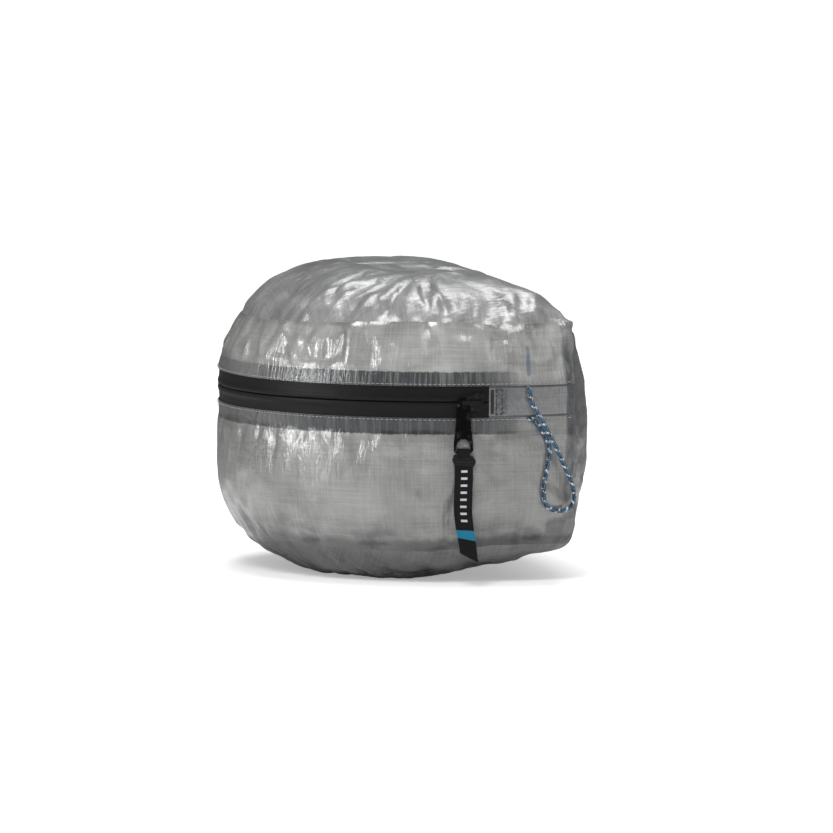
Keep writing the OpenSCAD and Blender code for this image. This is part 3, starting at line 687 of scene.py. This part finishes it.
        # painted shade: the crest of the dome painted darker
        crest = t.node("ShaderNodeSeparateXYZ", {"Vector": pos}).outputs[2]
        dark = t.mul(t.step(crest, 0.1520, 0.1570), 0.36)
    elif kind == "back":
        edge = t.math("MINIMUM", t.sub(v, LOW_Z), t.sub(TOP_Z, v))
        bn = t.mul(t.sub(t.noise(t.vec(t.mul(u, 0.12), t.mul(v, 0.05), 4.0), 1.0, 4.0, 0.65), 0.5), 8.0)
        # back panel painted darker over 40 mm towards its side edges as painted shade; the binding at the very edge
        # shows through
        side = t.sub(W_HI[0] - 0.5, t.add(t.absol(u), bn))
        dark = t.math("MAXIMUM", t.mul(t.sub(1.0, t.step(edge, 7.0, 9.5)), 0.5), t.math("MAXIMUM", t.mul(t.step(side, 40.0, 8.0), 0.56), t.mul(t.step(side, 4.5, 2.5), 0.8)))
    base = t.mix(t.math("MULTIPLY", val, 1.0, clamp=True), (0, 0, 0, 1), ((1.0, 0.998, 0.978, 1) if kind == "wall" else (0.996, 1.0, 1.012, 1)))
    if dark is not None:
        base = t.mix(dark, base, (0.03, 0.033, 0.037, 1))
    if kind == "wall":
        base = t.mix(t.mul(t.mul(tape, below), 0.5), base, (0.004, 0.005, 0.006, 1))
        base = t.mix(t.mul(tail, 0.6), base, (0.03, 0.08, 0.13, 1))
    # crinkles too small for the mesh
    v1 = t.node("ShaderNodeTexVoronoi", {"Vector": pos, "Scale": 190.0, "Randomness": 1.0}, feature="DISTANCE_TO_EDGE").outputs[0]
    c1 = t.noise(pos, 75.0, 3.0, 0.6, 0.8)
    c1 = t.absol(t.sub(c1, 0.5))
    c2 = t.noise(t.vec(t.mul(u, 0.30), t.mul(v, 0.07)), 1.0, 3.0, 0.6, 0.4)
    c2 = t.absol(t.sub(c2, 0.5))
    n1 = t.bump(c1, 0.0007, 0.6)
    n2 = t.bump(c2, 0.0011, 0.6, n1)
    n3 = t.bump(t.math("MINIMUM", v1, 0.25), 0.0004, 0.4, n2)
    n4 = t.bump(fib, 0.00010, 0.8, n3)
    rough = t.add(0.30, t.mul(t.sub(cloud, 0.5), 0.25))
    t.set(Base_Color=base, Roughness=t.add(rough, 0.07) if kind == "top" else rough, Normal=n4, Metallic=0.30)
    t.set(Specular_IOR_Level=0.65, Coat_Weight=0.36 if kind == "top" else 0.45, Coat_Roughness=0.23 if kind == "top" else 0.16, Coat_Normal=n3)
    return t.m

FILM_WALL = film_material("laminate_wall", "wall")
FILM_TAB = film_material("laminate_tab", "tab")
FILM_TOP = film_material("laminate_top", "top")
FILM_BACK = film_material("laminate_back", "back")
FILM_BOTTOM = film_material("laminate_bottom", "bottom")
film_mat = {BOTTOM: FILM_BOTTOM, LOWER: FILM_WALL, TAB_N: FILM_TAB, TAB_F: FILM_TAB, UPPER: FILM_WALL, TOP: FILM_TOP, BACK: FILM_BACK}

def coated_rubber():
    t = Tree("zip_coating")
    pos = t.node("ShaderNodeTexCoord").outputs["Object"]
    n = t.noise(pos, 900.0, 3.0, 0.6)
    m = t.noise(pos, 30.0, 3.0, 0.6)
    base = t.mix(m, (0.004, 0.004, 0.0045, 1), (0.009, 0.009, 0.010, 1))
    t.set(Base_Color=base, Roughness=t.add(0.38, t.mul(m, 0.2)), Specular_IOR_Level=0.14, Normal=t.bump(n, 0.0001, 0.5))
    return t.m

def painted(name, base, rough, spec=0.16, coat=0.08):
    t = Tree(name)
    pos = t.node("ShaderNodeTexCoord").outputs["Object"]
    n = t.noise(pos, 1400.0, 2.0, 0.6)
    m = t.noise(pos, 260.0, 4.0, 0.6)
    geo = t.node("ShaderNodeNewGeometry")
    edge = t.step(geo.outputs["Pointiness"], 0.53, 0.62)
    wear = t.mul(edge, t.step(m, 0.5, 0.7))
    col = t.mix(t.mul(wear, 0.35), (*base, 1), (0.10, 0.10, 0.105, 1))
    t.set(Base_Color=col, Roughness=t.add(rough, t.mul(t.sub(m, 0.5), 0.15)), Metallic=0.0, Specular_IOR_Level=spec, Coat_Weight=coat, Coat_Roughness=0.08, Normal=t.bump(n, 0.00004, 0.6))
    return t.m

def woven(name, base, pitch_u=0.55, pitch_v=0.7, light=1.6):
    """Fine webbing, from uv in mm."""
    t = Tree(name)
    uv = t.node("ShaderNodeSeparateXYZ", {"Vector": t.node("ShaderNodeUVMap", uv_map="film").outputs[0]})
    u, v = t.mul(uv.outputs[0], 100.0), t.mul(uv.outputs[1], 100.0)
    a = t.math("SINE", t.mul(u, 2 * math.pi / pitch_u))
    b = t.math("SINE", t.mul(v, 2 * math.pi / pitch_v))
    w = t.mul(a, b)
    n = t.noise(t.vec(u, v), 0.8, 4.0, 0.6)
    lo = (*base, 1)
    hi = (min(base[0] * light, 1), min(base[1] * light, 1), min(base[2] * light, 1), 1)
    col = t.mix(t.math("ADD", t.mul(w, 0.25), n, clamp=True), lo, hi)
    t.set(Base_Color=col, Roughness=0.72, Normal=t.bump(w, 0.00012, 0.8), Sheen_Weight=0.02, Specular_IOR_Level=0.16)
    t.u, t.v, t.col = u, v, col
    return t

def thread(name, base):
    t = Tree(name)
    pos = t.node("ShaderNodeTexCoord").outputs["Object"]
    n = t.noise(pos, 2500.0, 2.0, 0.6)
    col = t.mix(n, (*[c * 0.7 for c in base], 1), (*[min(1, c * 1.15) for c in base], 1))
    t.set(Base_Color=col, Roughness=0.65, Normal=t.bump(n, 0.00005, 0.7))
    return t.m

ZIPMAT = coated_rubber()
PAINT = painted("slider_paint", (0.002, 0.002, 0.0022), 0.16)
TABPAINT = painted("tab_paint", (0.0010, 0.0010, 0.0011), 0.24, 0.05, 0.015)
THREAD_L = thread("thread_light", (0.34, 0.34, 0.345))
THREAD_D = thread("thread_dark", (0.025, 0.025, 0.027))
BINDING = woven("binding", (0.03, 0.03, 0.033)).m
COIL = thread("zip_coil", (0.03, 0.03, 0.03))

# ------------------------------------------------------------------ split the pouch into its sewn panels
for which, name in names.items():
    sel = FQ[fpart == which]
    used, inv = np.unique(sel, return_inverse=True)
    inv = inv.reshape(sel.shape)
    q = Q[used]
    m2 = mesh_of(name, q, inv)
    uvl = m2.uv_layers.new(name="film")
    uu, vv = film_uv(which, flat_uv[used])
    li = np.empty(len(m2.loops), int)
    m2.loops.foreach_get("vertex_index", li)
    uv = np.stack([uu[li], vv[li]], 1) / 100.0
    uvl.data.foreach_set("uv", uv.ravel())
    le = np.empty(len(m2.loops), int)
    m2.loops.foreach_get("edge_index", le)
    cut = m2.attributes.get("sharp_edge") or m2.attributes.new("sharp_edge", "BOOLEAN", "EDGE")
    cut.data.foreach_set("value", np.bincount(le, minlength=len(m2.edges)) == 1)
    o = new_object(name, m2)
    sol = o.modifiers.new("thickness", "SOLIDIFY")
    sol.thickness = 0.25 * MM
    sol.offset = -1
    finish_piece(o, "sack", slots[which], film_mat[which], nodes[which])

# ------------------------------------------------------------------ helpers for small modelled pieces
def at_beta(b, r, z):
    b = np.radians(b)
    return np.array([r * math.sin(b), -r * math.cos(b), z])

def sweep(name, profiles, close_ends=True, closed_path=False, uvs=None):
    """A tube of matching cross-sections, each an (m, 3) array in mm."""
    m = len(profiles[0])
    verts = np.concatenate(profiles)
    fcs = []
    L = len(profiles)
    for a in range(L if closed_path else L - 1):
        b = (a + 1) % L
        for k in range(m):
            l = (k + 1) % m
            fcs.append((a * m + k, a * m + l, b * m + l, b * m + k))
    if close_ends and not closed_path:
        fcs.append(tuple(range(m))[::-1])
        fcs.append(tuple((L - 1) * m + k for k in range(m)))
    me = mesh_of(name, verts, fcs)
    bm = bmesh.new()
    bm.from_mesh(me)
    bmesh.ops.recalc_face_normals(bm, faces=bm.faces)
    bm.to_mesh(me)
    bm.free()
    if uvs is not None:
        lay = me.uv_layers.new(name="film")
        li = np.empty(len(me.loops), int)
        me.loops.foreach_get("vertex_index", li)
        lay.data.foreach_set("uv", (uvs[li] / 100.0).ravel())
    return new_object(name, me)

def zip_half(side):
    """Coated half of the zip, from its lip at the centre to its hidden edge."""
    prof = [(0.16, -0.15), (0.2, 0.28), (0.34, 0.56), (0.7, 0.74), (1.3, 0.82), (2.1, 0.80), (2.7, 0.66), (3.2, 0.42), (3.8, 0.26),
            (5.0, 0.14), (6.6, 0.06), (8.0, 0.0), (8.6, -0.1), (9.6, -0.7), (11.0, -1.5), (TAPE - 1.0, -2.2),
            (TAPE - 1.0, -2.7), (11.0, -2.1), (9.4, -1.2), (8.2, -0.6), (4.0, -0.55), (2.0, -0.5), (0.3, -0.5)]
    bs = np.linspace(-92.0, 92.0, 300)
    profs, uvs = [], []
    for b in bs:
        k = float(1 - smooth(abs(b), 86.4, 87.8))
        wav = 0.10 * noise.noise(Vector((b * 0.09, side * 3.0, 0))) + 0.05 * noise.noise(Vector((b * 0.5, side * 9.0, 4)))
        pr = []
        for t, o in prof:
            z = ZIP_Z + side * t
            lift = o * k + (wav * k if o > -0.1 and t < 8 else 0) if o > 0 else o
            pr.append(at_beta(b, float(wall_r(z)) - 0.9 + lift, z))
            uvs.append((math.radians(b) * ARC_R, side * t))
        profs.append(np.array(pr))
    o = sweep("zip_tape_%s_coated" % ("upper" if side > 0 else "lower"), profs, uvs=np.array(uvs))
    return finish_piece(o, "sack", "zip_coating", ZIPMAT, "zip_tape_upper" if side > 0 else "zip_tape_lower")

zip_half(1)
zip_half(-1)

def stitch_mesh(name, runs, r=0.19, n=6):
    """runs: list of (start, end, outward) in mm. Each becomes one rounded thread stitch that dips at both ends."""
    verts, fcs = [], []
    for a, b, out in runs:
        a, b, out = np.array(a, float), np.array(b, float), np.array(out, float)
        d = b - a
        L = np.linalg.norm(d)
        d /= L
        sd = np.cross(d, out)
        base = len(verts)
        prof = [(0.0, 0.35, -0.55), (0.10, 0.8, -0.12), (0.3, 1.0, 0.06), (0.7, 1.0, 0.06), (0.9, 0.8, -0.12), (1.0, 0.35, -0.55)]
        for s, k, h in prof:
            c = a + d * L * s + out * h * r * 1.6
            for q in range(n):
                w = 2 * math.pi * q / n
                verts.append(c + r * k * (math.cos(w) * out + math.sin(w) * sd))
        m = len(prof)
        for i in range(m - 1):
            for q in range(n):
                p = (q + 1) % n
                fcs.append((base + i * n + q, base + i * n + p, base + (i + 1) * n + p, base + (i + 1) * n + q))
        fcs.append(tuple(base + q for q in range(n))[::-1])
        fcs.append(tuple(base + (m - 1) * n + q for q in range(n)))
    me = mesh_of(name, verts, fcs)
    return new_object(name, me)

def arc_stitches(z, b0, b1, pitch=2.5, length=1.9, lift=0.16):
    runs = []
    b = b0
    step = math.degrees(pitch / ARC_R)
    half = math.degrees(length / ARC_R)
    n = 0
    while b + half < b1:
        j = 0.12 * math.sin(n * 12.9898) * math.cos(n * 3.1)
        r = float(wall_r(z)) + lift
        o = at_beta(b + half / 2, 1, 0)
        o[2] = 0
        runs.append((at_beta(b, r, z + j), at_beta(b + half, r, z - j * 0.5), o / np.linalg.norm(o)))
        b += step
        n += 1
    return runs

for side, node in ((1, "topstitch_upper"), (-1, "topstitch_lower")):
    o = stitch_mesh(node + "_thread", arc_stitches(ZIP_Z + side * (SHOW + 1.0), -CORNER_B + 0.6, CORNER_B - 0.6))
    finish_piece(o, "sack", "thread_light", THREAD_L, node)

# thread bars across the ends of the zip, and the box of stitches beside each
for side, node in ((1, "bartack_near"), (-1, "bartack_far")):
    runs = []
    def local(along, z, lift=0.2):
        return at_beta(side * (END_B + 0.35 + math.degrees(along / ARC_R)), ARC_R + lift, z)
    o = at_beta(side * (END_B + 1), 1, 0)
    for n in range(30):
        z = ZIP_Z - 6.0 + n * 12.0 / 29
        runs.append((local(0.1, z), local(1.9, z + 0.16), o))
    for x in (3.1, 6.2):
        for n in range(6):
            z = ZIP_Z - 6.4 + n * 2.2
            runs.append((local(x, z, 0.14), local(x, z + 1.6, 0.14), o))
    for zz in (ZIP_Z - 6.6, ZIP_Z + 6.6):
        for n in range(2):
            runs.append((local(2.6 + n * 2.2, zz, 0.14), local(2.6 + n * 2.2 + 1.5, zz, 0.14), o))
    ob = stitch_mesh(node + "_thread", runs, 0.2)
    finish_piece(ob, "sack", "thread_dark", THREAD_D, node)

# ------------------------------------------------------------------ slider, bridge and tab keep their CAD shape, with softened edges
def dress(node, mat, width=0.22, seg=3):
    o = frame["nodes"][node]
    if len(o.material_slots) == 0:
        o.data.materials.append(mat)
    for s in o.material_slots:
        s.link = "OBJECT"
        s.material = mat
    if width:
        b = o.modifiers.new("soft_edges", "BEVEL")
        b.width = width * MM
        b.segments = seg
        b.limit_method = "ANGLE"
        b.angle_limit = math.radians(35)
        b.harden_normals = False
    return o

dress("slider_body", PAINT, 0.25)
dress("slider_bridge", PAINT, 0.35)
dress("pull_tab", TABPAINT, 0.3)
for nm in ("zip_coil_upper", "zip_coil_lower"):
    dress(nm, COIL, 0)

# ------------------------------------------------------------------ the slider's own directions, from its joints
J = {j["name"]: j for j in frame["joints"]}
BAR = np.array(J["ribbon_swing"]["pos_m"]) * 1000.0
OUT = np.array(J["tab_swivel"]["axis"], float)
ALONG = -np.array(J["ribbon_swing"]["axis"], float)
UP = np.array([0.0, 0.0, 1.0])

def at_bar(x, y, z):
    """A point x mm outward, y mm along the zip and z mm up from the tab's ribbon bar."""
    return BAR + OUT * x + ALONG * y + UP * z

# ------------------------------------------------------------------ folded ribbon pull
RIB_W, RIB_L = 9.4, 54.6

def ribbon():
    back = [(-0.30, -z) for z in np.linspace(RIB_L, 6.2, 40)]
    neck = [(-0.42, -4.8), (-0.75, -3.6), (-1.15, -2.4), (-1.48, -1.1)]
    arch = [(1.58 * math.cos(a), 1.58 * math.sin(a)) for a in np.linspace(math.pi, 0, 11)]
    front = [(-x, z) for x, z in neck[::-1]] + [(-x, z) for x, z in back[::-1]]
    path = back + neck + arch + front
    M = len(path)
    half = [(1.0, 0.15), (0.965, 0.24), (0.90, 0.27), (0.84, 0.22), (0.6, 0.235), (0.3, 0.22), (0.0, 0.235),
            (-0.3, 0.22), (-0.6, 0.235), (-0.84, 0.22), (-0.90, 0.27), (-0.965, 0.24), (-1.0, 0.15)]
    profs, uvs = [], []
    for n, (x, z) in enumerate(path):
        a, b = np.array(path[max(n - 1, 0)]), np.array(path[min(n + 1, M - 1)])
        t = (b - a) / np.linalg.norm(b - a)
        nx, nz_ = -t[1], t[0]                       # points away from the bar on the outside of the fold
        d = max(0.0, -z)
        w = 6.2 + (RIB_W - 6.2) * float(smooth(d, 1.3, 4.2))
        ysh = 2.9 * float(smooth(d, 26.0, 60.0)) * (d / RIB_L) + 0.25 * math.sin(d * 0.16)
        curl = 0.9 * float(smooth(d, 22.0, 54.0)) + 0.35 * math.sin(d * 0.12)
        twist = -0.10 * float(smooth(d, 8.0, 54.0))
        gap = 0.30 * float(smooth(d, 38.0, 54.0)) * (1 if n > M / 2 else -1)
        pr = []
        for side in (1, -1):
            for yy, hh in (half if side == 1 else half[::-1]):
                y = yy * w / 2
                fan = -0.44 * y * float(smooth(d, 40.0, 54.0)) - 0.10 * y * float(smooth(d, 20.0, 54.0))
                ox = x + gap + curl + side * hh * nx + twist * y * 0.6
                oz = z + side * hh * nz_ + fan
                pr.append(at_bar(ox, ysh + y, oz))
                uvs.append((y, d))
        profs.append(np.array(pr))
    return sweep("ribbon_strap", profs, uvs=np.array(uvs))

def ribbon_material():
    t = woven("ribbon", (0.0036, 0.0036, 0.0042), 0.62, 0.8, 2.2)
    stripe = t.mul(t.step(t.v, 40.3, 40.6), t.sub(1.0, t.step(t.v, 44.9, 45.2)))
    n = t.noise(t.vec(t.u, t.v), 1.1, 3.0, 0.6)
    blue = t.mix(n, (0.010, 0.118, 0.205, 1), (0.022, 0.205, 0.330, 1))
    col = t.mix(stripe, t.col, blue)
    # plain ladder of short woven bars
    k = t.math("FRACT", t.mul(t.sub(t.v, 8.6), 1.0 / 3.65))
    bar = t.mul(t.step(k, 0.18, 0.24), t.sub(1.0, t.step(k, 0.50, 0.56)))
    bar = t.mul(bar, t.sub(1.0, t.step(t.absol(t.sub(t.u, 0.2)), 1.55, 1.75)))
    bar = t.mul(bar, t.mul(t.step(t.v, 8.5, 8.6), t.sub(1.0, t.step(t.v, 37.7, 37.8))))
    col = t.mix(t.mul(bar, 0.85), col, (0.62, 0.63, 0.64, 1))
    t.put(t.bsdf.inputs["Base Color"], col)
    return t.m

RIBBON = ribbon_material()
finish_piece(ribbon(), "ribbon", "ribbon", RIBBON, "pull_ribbon")

def collar():
    """The ribbon's turned-over end, wrapped round the strap and pulled tight."""
    profs, uvs = [], []
    n, zs = 44, np.concatenate([[-1.95, -1.90], np.linspace(-2.1, -7.1, 15), [-7.3, -7.25]])
    ks = np.concatenate([[0.80, 0.93], 1 - 0.10 * np.abs(np.linspace(-1, 1, 15)) ** 3, [0.93, 0.80]])
    for z, k in zip(zs, ks):
        pr = []
        for i in range(n):
            a = 2 * math.pi * i / n
            c, s_ = math.cos(a), math.sin(a)
            y = 5.75 * k * math.copysign(abs(c) ** 0.45, c)
            x = 1.28 * k * math.copysign(abs(s_) ** 0.5, s_)
            fold = 0.16 * math.sin(z * 2.2 + y * 0.5) + 0.22 * noise.noise(Vector((y * 0.5, z * 0.7, x)))
            y *= 1.0 + 0.05 * math.sin(z * 1.3 + 1.0)
            pr.append(at_bar(0.12 + x + fold * (1 if s_ > 0 else -0.2) * 0.8, y + 0.1 - 0.05 * z, z - 0.07 * y))
            uvs.append((y, -z + x))
        profs.append(np.array(pr))
    return sweep("ribbon_collar", profs, uvs=np.array(uvs))

COLLAR = woven("ribbon_collar", (0.0062, 0.0062, 0.0068), 0.62, 0.8, 2.4).m
finish_piece(collar(), "ribbon", "ribbon", COLLAR, "ribbon_wrap")
runs = []
for n in range(9):
    y = -4.2 + n * 1.05
    runs.append((at_bar(1.52, y, -5.0), at_bar(1.52, y + 0.75, -5.06), OUT))
o = stitch_mesh("ribbon_collar_thread", runs, 0.17)
finish_piece(o, "ribbon", "ribbon", THREAD_D)

# ------------------------------------------------------------------ flecked hang cord
CORD_D = 2.3
PIVOT = np.array(J["cord_swing"]["pos_m"]) * 1000.0
CORD_B = 90.0 + math.degrees(math.atan2(PIVOT[1], PIVOT[0]))
c_lo, c_hi = bx("cord_loop")
CORD_TOP = ZIP_Z + 7.6
CORD_DROP = CORD_TOP - (c_lo[2] + CORD_D / 2)
cord_path = [(-0.6, 0.015, -0.7), (-0.7, 0.03, 0.9), (-0.4, 0.09, 1.6), (0.8, 0.15, 2.4), (3.0, 0.215, 3.2), (5.6, 0.285, 3.8), (9.8, 0.405, 4.0),
             (13.8, 0.515, 3.4), (18.2, 0.64, 2.2), (22.4, 0.755, 1.6), (24.8, 0.87, 1.5), (24.4, 0.95, 1.5), (21.6, 0.99, 1.5), (17.4, 1.0, 1.5),
             (12.8, 0.99, 1.5), (9.2, 0.955, 1.5), (7.4, 0.89, 1.5), (7.1, 0.80, 1.5), (8.5, 0.675, 1.4),
             (10.0, 0.57, 1.35), (10.2, 0.485, 1.3), (8.2, 0.41, 1.3), (5.2, 0.335, 1.3), (2.2, 0.275, 1.35), (0.0, 0.258, 1.0), (-0.8, 0.256, -0.7)]

def cord():
    p = np.array(cord_path, float)
    pts = []
    for i in range(len(p) - 1):
        a, b, c, d = p[max(i - 1, 0)], p[i], p[i + 1], p[min(i + 2, len(p) - 1)]
        for t in np.linspace(0, 1, 12)[:-1]:
            pts.append(0.5 * (2 * b + (c - a) * t + (2 * a - 5 * b + 4 * c - d) * t * t + (3 * b - a - 3 * c + d) * t ** 3))
    pts.append(p[-1])
    W = np.array([at_beta(CORD_B + math.degrees(s_ / ARC_R), float(wall_r(CORD_TOP - CORD_DROP * sh)) + l, CORD_TOP - CORD_DROP * sh) for s_, sh, l in pts])
    # even spacing
    L = np.concatenate([[0], np.cumsum(np.linalg.norm(np.diff(W, axis=0), axis=1))])
    cnt = int(L[-1] / 0.42)
    q = np.linspace(0, L[-1], cnt)
    W = np.stack([np.interp(q, L, W[:, k]) for k in range(3)], 1)
    T = np.gradient(W, axis=0)
    T /= np.linalg.norm(T, axis=1, keepdims=True)
    profs, uvs = [], []
    n = 20
    for i in range(cnt):
        outw = np.array([W[i, 0], W[i, 1], 0.0])
        outw /= np.linalg.norm(outw)
        bb = np.cross(T[i], outw)
        bb /= np.linalg.norm(bb)
        cc = np.cross(bb, T[i])
        pr = []
        for k in range(n):
            a = 2 * math.pi * k / n
            w1 = math.sin(4 * (a + q[i] * 0.62))
            w2 = math.sin(4 * (a - q[i] * 0.62))
            r = CORD_D / 2 * (1.0 + 0.055 * w1 * w2)
            pr.append(W[i] + r * (math.cos(a) * cc + math.sin(a) * bb))
            uvs.append((k / n * 10.0, q[i]))
        profs.append(np.array(pr))
    return sweep("cord_braid", profs, uvs=np.array(uvs))

def cord_material():
    t = Tree("cord")
    uv = t.node("ShaderNodeSeparateXYZ", {"Vector": t.node("ShaderNodeUVMap", uv_map="film").outputs[0]})
    u, v = t.mul(uv.outputs[0], 10.0), t.mul(uv.outputs[1], 100.0)       # u turns once round, v in mm
    def frac(x):
        return t.math("FRACT", t.add(x, 50.0))
    h1 = frac(t.add(u, t.mul(v, 1 / 5.2)))
    h2 = frac(t.sub(u, t.mul(v, 1 / 5.2)))
    a, b = t.mul(u, 4.0), t.mul(v, 0.8)
    cell = t.vec(t.math("FLOOR", t.add(a, b)), t.math("FLOOR", t.sub(a, b)), 0.0)
    rnd = t.node("ShaderNodeTexWhiteNoise", {"Vector": cell}, noise_dimensions="3D").outputs[0]
    dark = t.math("MAXIMUM", t.math("LESS_THAN", h2, 0.30), t.math("LESS_THAN", rnd, 0.22))
    light = t.mul(t.math("LESS_THAN", h1, 0.27), t.math("GREATER_THAN", rnd, 0.26))
    fine = t.noise(t.vec(t.mul(u, 30.0), t.mul(v, 3.0)), 1.0, 2.0, 0.6)
    blue = t.mix(fine, (0.003, 0.050, 0.115, 1), (0.006, 0.105, 0.215, 1))
    col = t.mix(dark, blue, (0.004, 0.014, 0.030, 1))
    col = t.mix(light, col, (0.50, 0.52, 0.53, 1))
    fa, fb = frac(t.add(a, b)), frac(t.sub(a, b))
    yarn = t.mul(t.math("SINE", t.mul(fa, math.pi)), t.math("SINE", t.mul(fb, math.pi)))
    t.set(Base_Color=col, Roughness=0.62, Normal=t.bump(t.add(yarn, t.mul(fine, 0.4)), 0.00018, 0.8), Sheen_Weight=0.2)
    return t.m

CORD = cord_material()
finish_piece(cord(), "cord", "cord", CORD, "cord_loop")
dress("cord_tail", thread("cord_inner", (0.02, 0.12, 0.25)), 0)

# ------------------------------------------------------------------ inner bindings, hidden behind the film
def in_wall_strip(name, z0, z1, b0, b1, inset, node, mat, n=120, thick=0.7):
    profs = []
    for b in np.linspace(b0, b1, n):
        zz = [z0, (z0 + z1) / 2, z1]
        pr = [at_beta(b, float(wall_r(z)) - inset, z) for z in zz] + [at_beta(b, float(wall_r(z)) - inset - thick, z) for z in zz[::-1]]
        profs.append(np.array(pr))
    return sweep(name, profs)

cb = CORNER_B - 2.2
o = in_wall_strip("top_seam_binding_tape", TOP_Z - 9.5, TOP_Z - 1.2, -cb, cb, 3.6, "top_seam_binding", BINDING)
finish_piece(o, "sack", "binding", BINDING, "top_seam_binding")
o = in_wall_strip("bottom_seam_binding_tape", LOW_Z + 5.5, LOW_Z + 12.0, -cb, cb, 5.0, "bottom_seam_binding", BINDING)
finish_piece(o, "sack", "binding", BINDING, "bottom_seam_binding")
for side, nm in ((1, "corner_binding_near"), (-1, "corner_binding_far")):
    profs = []
    for z in np.linspace(LOW_Z + 7.0, TOP_Z - 4.0, 60):
        r = float(wall_r(z))
        full = 90.0 + math.degrees(math.asin(BACK_Y / r))
        w = 0.25 * noise.noise(Vector((z * 0.08, side * 5.0, 2.0)))
        ds = (1.9 + w, 3.4 + w, 4.9 + w)
        pr = [at_beta(side * (full - d), r - 5.5, z) for d in ds] + [at_beta(side * (full - d), r - 6.3, z) for d in ds[::-1]]
        profs.append(np.array(pr))
    o = sweep(nm + "_tape", profs)
    finish_piece(o, "sack", "binding", BINDING, nm)

# ------------------------------------------------------------------ floor, light, camera
def floor_material():
    """Pale matte floor. What the camera sees of it is lifted towards white, as on a lit studio table."""
    t = Tree("floor")
    pos = t.node("ShaderNodeTexCoord").outputs["Object"]
    n = t.noise(pos, 3.0, 2.0, 0.5)
    t.set(Base_Color=t.mix(n, (0.885, 0.885, 0.885, 1), (0.90, 0.90, 0.90, 1)), Roughness=0.95, Specular_IOR_Level=0.0)
    lp = t.node("ShaderNodeLightPath")
    xyz = t.node("ShaderNodeSeparateXYZ", {"Vector": pos})
    depth = t.sub(t.mul(xyz.outputs[0], 0.978), t.mul(xyz.outputs[1], 0.208))
    shade = t.mul(t.mul(lp.outputs["Is Glossy Ray"], t.step(depth, -0.05, -0.35)), 0.72)
    t.set(Base_Color=t.mix(shade, t.mix(n, (0.885, 0.885, 0.885, 1), (0.90, 0.90, 0.90, 1)), (0.02, 0.02, 0.02, 1)))
    t.put(t.bsdf.inputs["Emission Color"], (1, 1, 1, 1))
    away = t.node("ShaderNodeVectorMath", {0: pos}, operation="LENGTH").outputs["Value"]
    t.put(t.bsdf.inputs["Emission Strength"], t.mul(lp.outputs["Is Camera Ray"], t.add(0.36, t.mul(t.step(away, 0.25, 2.2), 0.32))))
    return t.m

me = bpy.data.meshes.new("floor")
S = 150.0
me.from_pydata([(-S, -S, -0.0004), (S, -S, -0.0004), (S, S, -0.0004), (-S, S, -0.0004)], [], [(0, 1, 2, 3)])
floor = new_object("floor", me)
floor.data.materials.append(floor_material())

world = bpy.data.worlds.new("studio")
scene.world = world
world.use_nodes = True
wt = world.node_tree
bg = wt.nodes["Background"]
bg.inputs[0].default_value = (1, 1, 1, 1)
lp = wt.nodes.new("ShaderNodeLightPath")
mr = wt.nodes.new("ShaderNodeMapRange")
wt.links.new(lp.outputs["Is Camera Ray"], mr.inputs["Value"])
mr.inputs["To Min"].default_value = 0.42
direction = wt.nodes.new("ShaderNodeTexCoord")
facing = wt.nodes.new("ShaderNodeVectorMath")
facing.operation = "DOT_PRODUCT"
facing.inputs[1].default_value = (0.978, -0.208, 0.0)
wt.links.new(direction.outputs["Generated"], facing.inputs[0])
behind = wt.nodes.new("ShaderNodeMapRange")      # the surroundings are darker behind the sack
behind.inputs["From Min"].default_value = -0.85
behind.inputs["From Max"].default_value = 0.05
behind.inputs["To Min"].default_value = 0.15
behind.inputs["To Max"].default_value = 0.44
wt.links.new(facing.outputs["Value"], behind.inputs["Value"])
wt.links.new(behind.outputs["Result"], mr.inputs["To Min"])
mr.inputs["To Max"].default_value = 1.0
wt.links.new(mr.outputs["Result"], bg.inputs[1])
scene.view_settings.view_transform = "Standard"
scene.view_settings.look = "None"

AZ, EL, DIST = math.radians(78.0), math.radians(5.0), 6.0
right = Vector((math.cos(AZ), math.sin(AZ), 0))
out = Vector((math.sin(AZ) * math.cos(EL), -math.cos(AZ) * math.cos(EL), math.sin(EL)))
target = right * (-17.6 * MM) + Vector((0, 0, 77.7 * MM))
cam_data = bpy.data.cameras.new("camera")
cam_data.sensor_width = 36.0
cam_data.lens = 36.0 * DIST / (833 * 0.525 * MM)
cam_data.clip_end = 400
cam = bpy.data.objects.new("camera", cam_data)
scene.collection.objects.link(cam)
cam.location = target + out * DIST
cam.rotation_mode = "QUATERNION"
cam.rotation_quaternion = (-out).to_track_quat("-Z", "Y")
scene.camera = cam

def area(name, loc, size, power, aim=(0, 0, 0.08), tall=None):
    l = bpy.data.lights.new(name, "AREA")
    l.shape = "ELLIPSE" if tall else "DISK"
    l.size = size
    if tall:
        l.size_y = tall
    l.energy = power
    ob = bpy.data.objects.new(name, l)
    scene.collection.objects.link(ob)
    ob.location = loc
    ob.rotation_mode = "QUATERNION"
    ob.rotation_quaternion = (Vector(aim) - Vector(loc)).to_track_quat("-Z", "Y")
    return ob

def place(az_off, el, d):
    """A point az_off degrees to the right of the camera, el degrees up, d metres away."""
    a = AZ + math.radians(az_off)
    e = math.radians(el)
    return Vector((math.sin(a) * math.cos(e), -math.cos(a) * math.cos(e), math.sin(e))) * d

area("top", place(4, 98, 1.35), 1.0, 13)
area("key", place(-12, 40, 1.5), 0.5, 8.4).visible_glossy = False     # soft fill, kept out of the reflections
area("glint", place(-12, 40, 1.5), 0.5, 1.7)
area("left", place(-73, 15, 1.4), 0.32, 8.5, tall=1.0).visible_diffuse = False     # long side highlight only
area("side", place(52, 40, 1.8), 1.1, 2.4)
area("back", place(165, 60, 1.6), 0.9, 2.8)
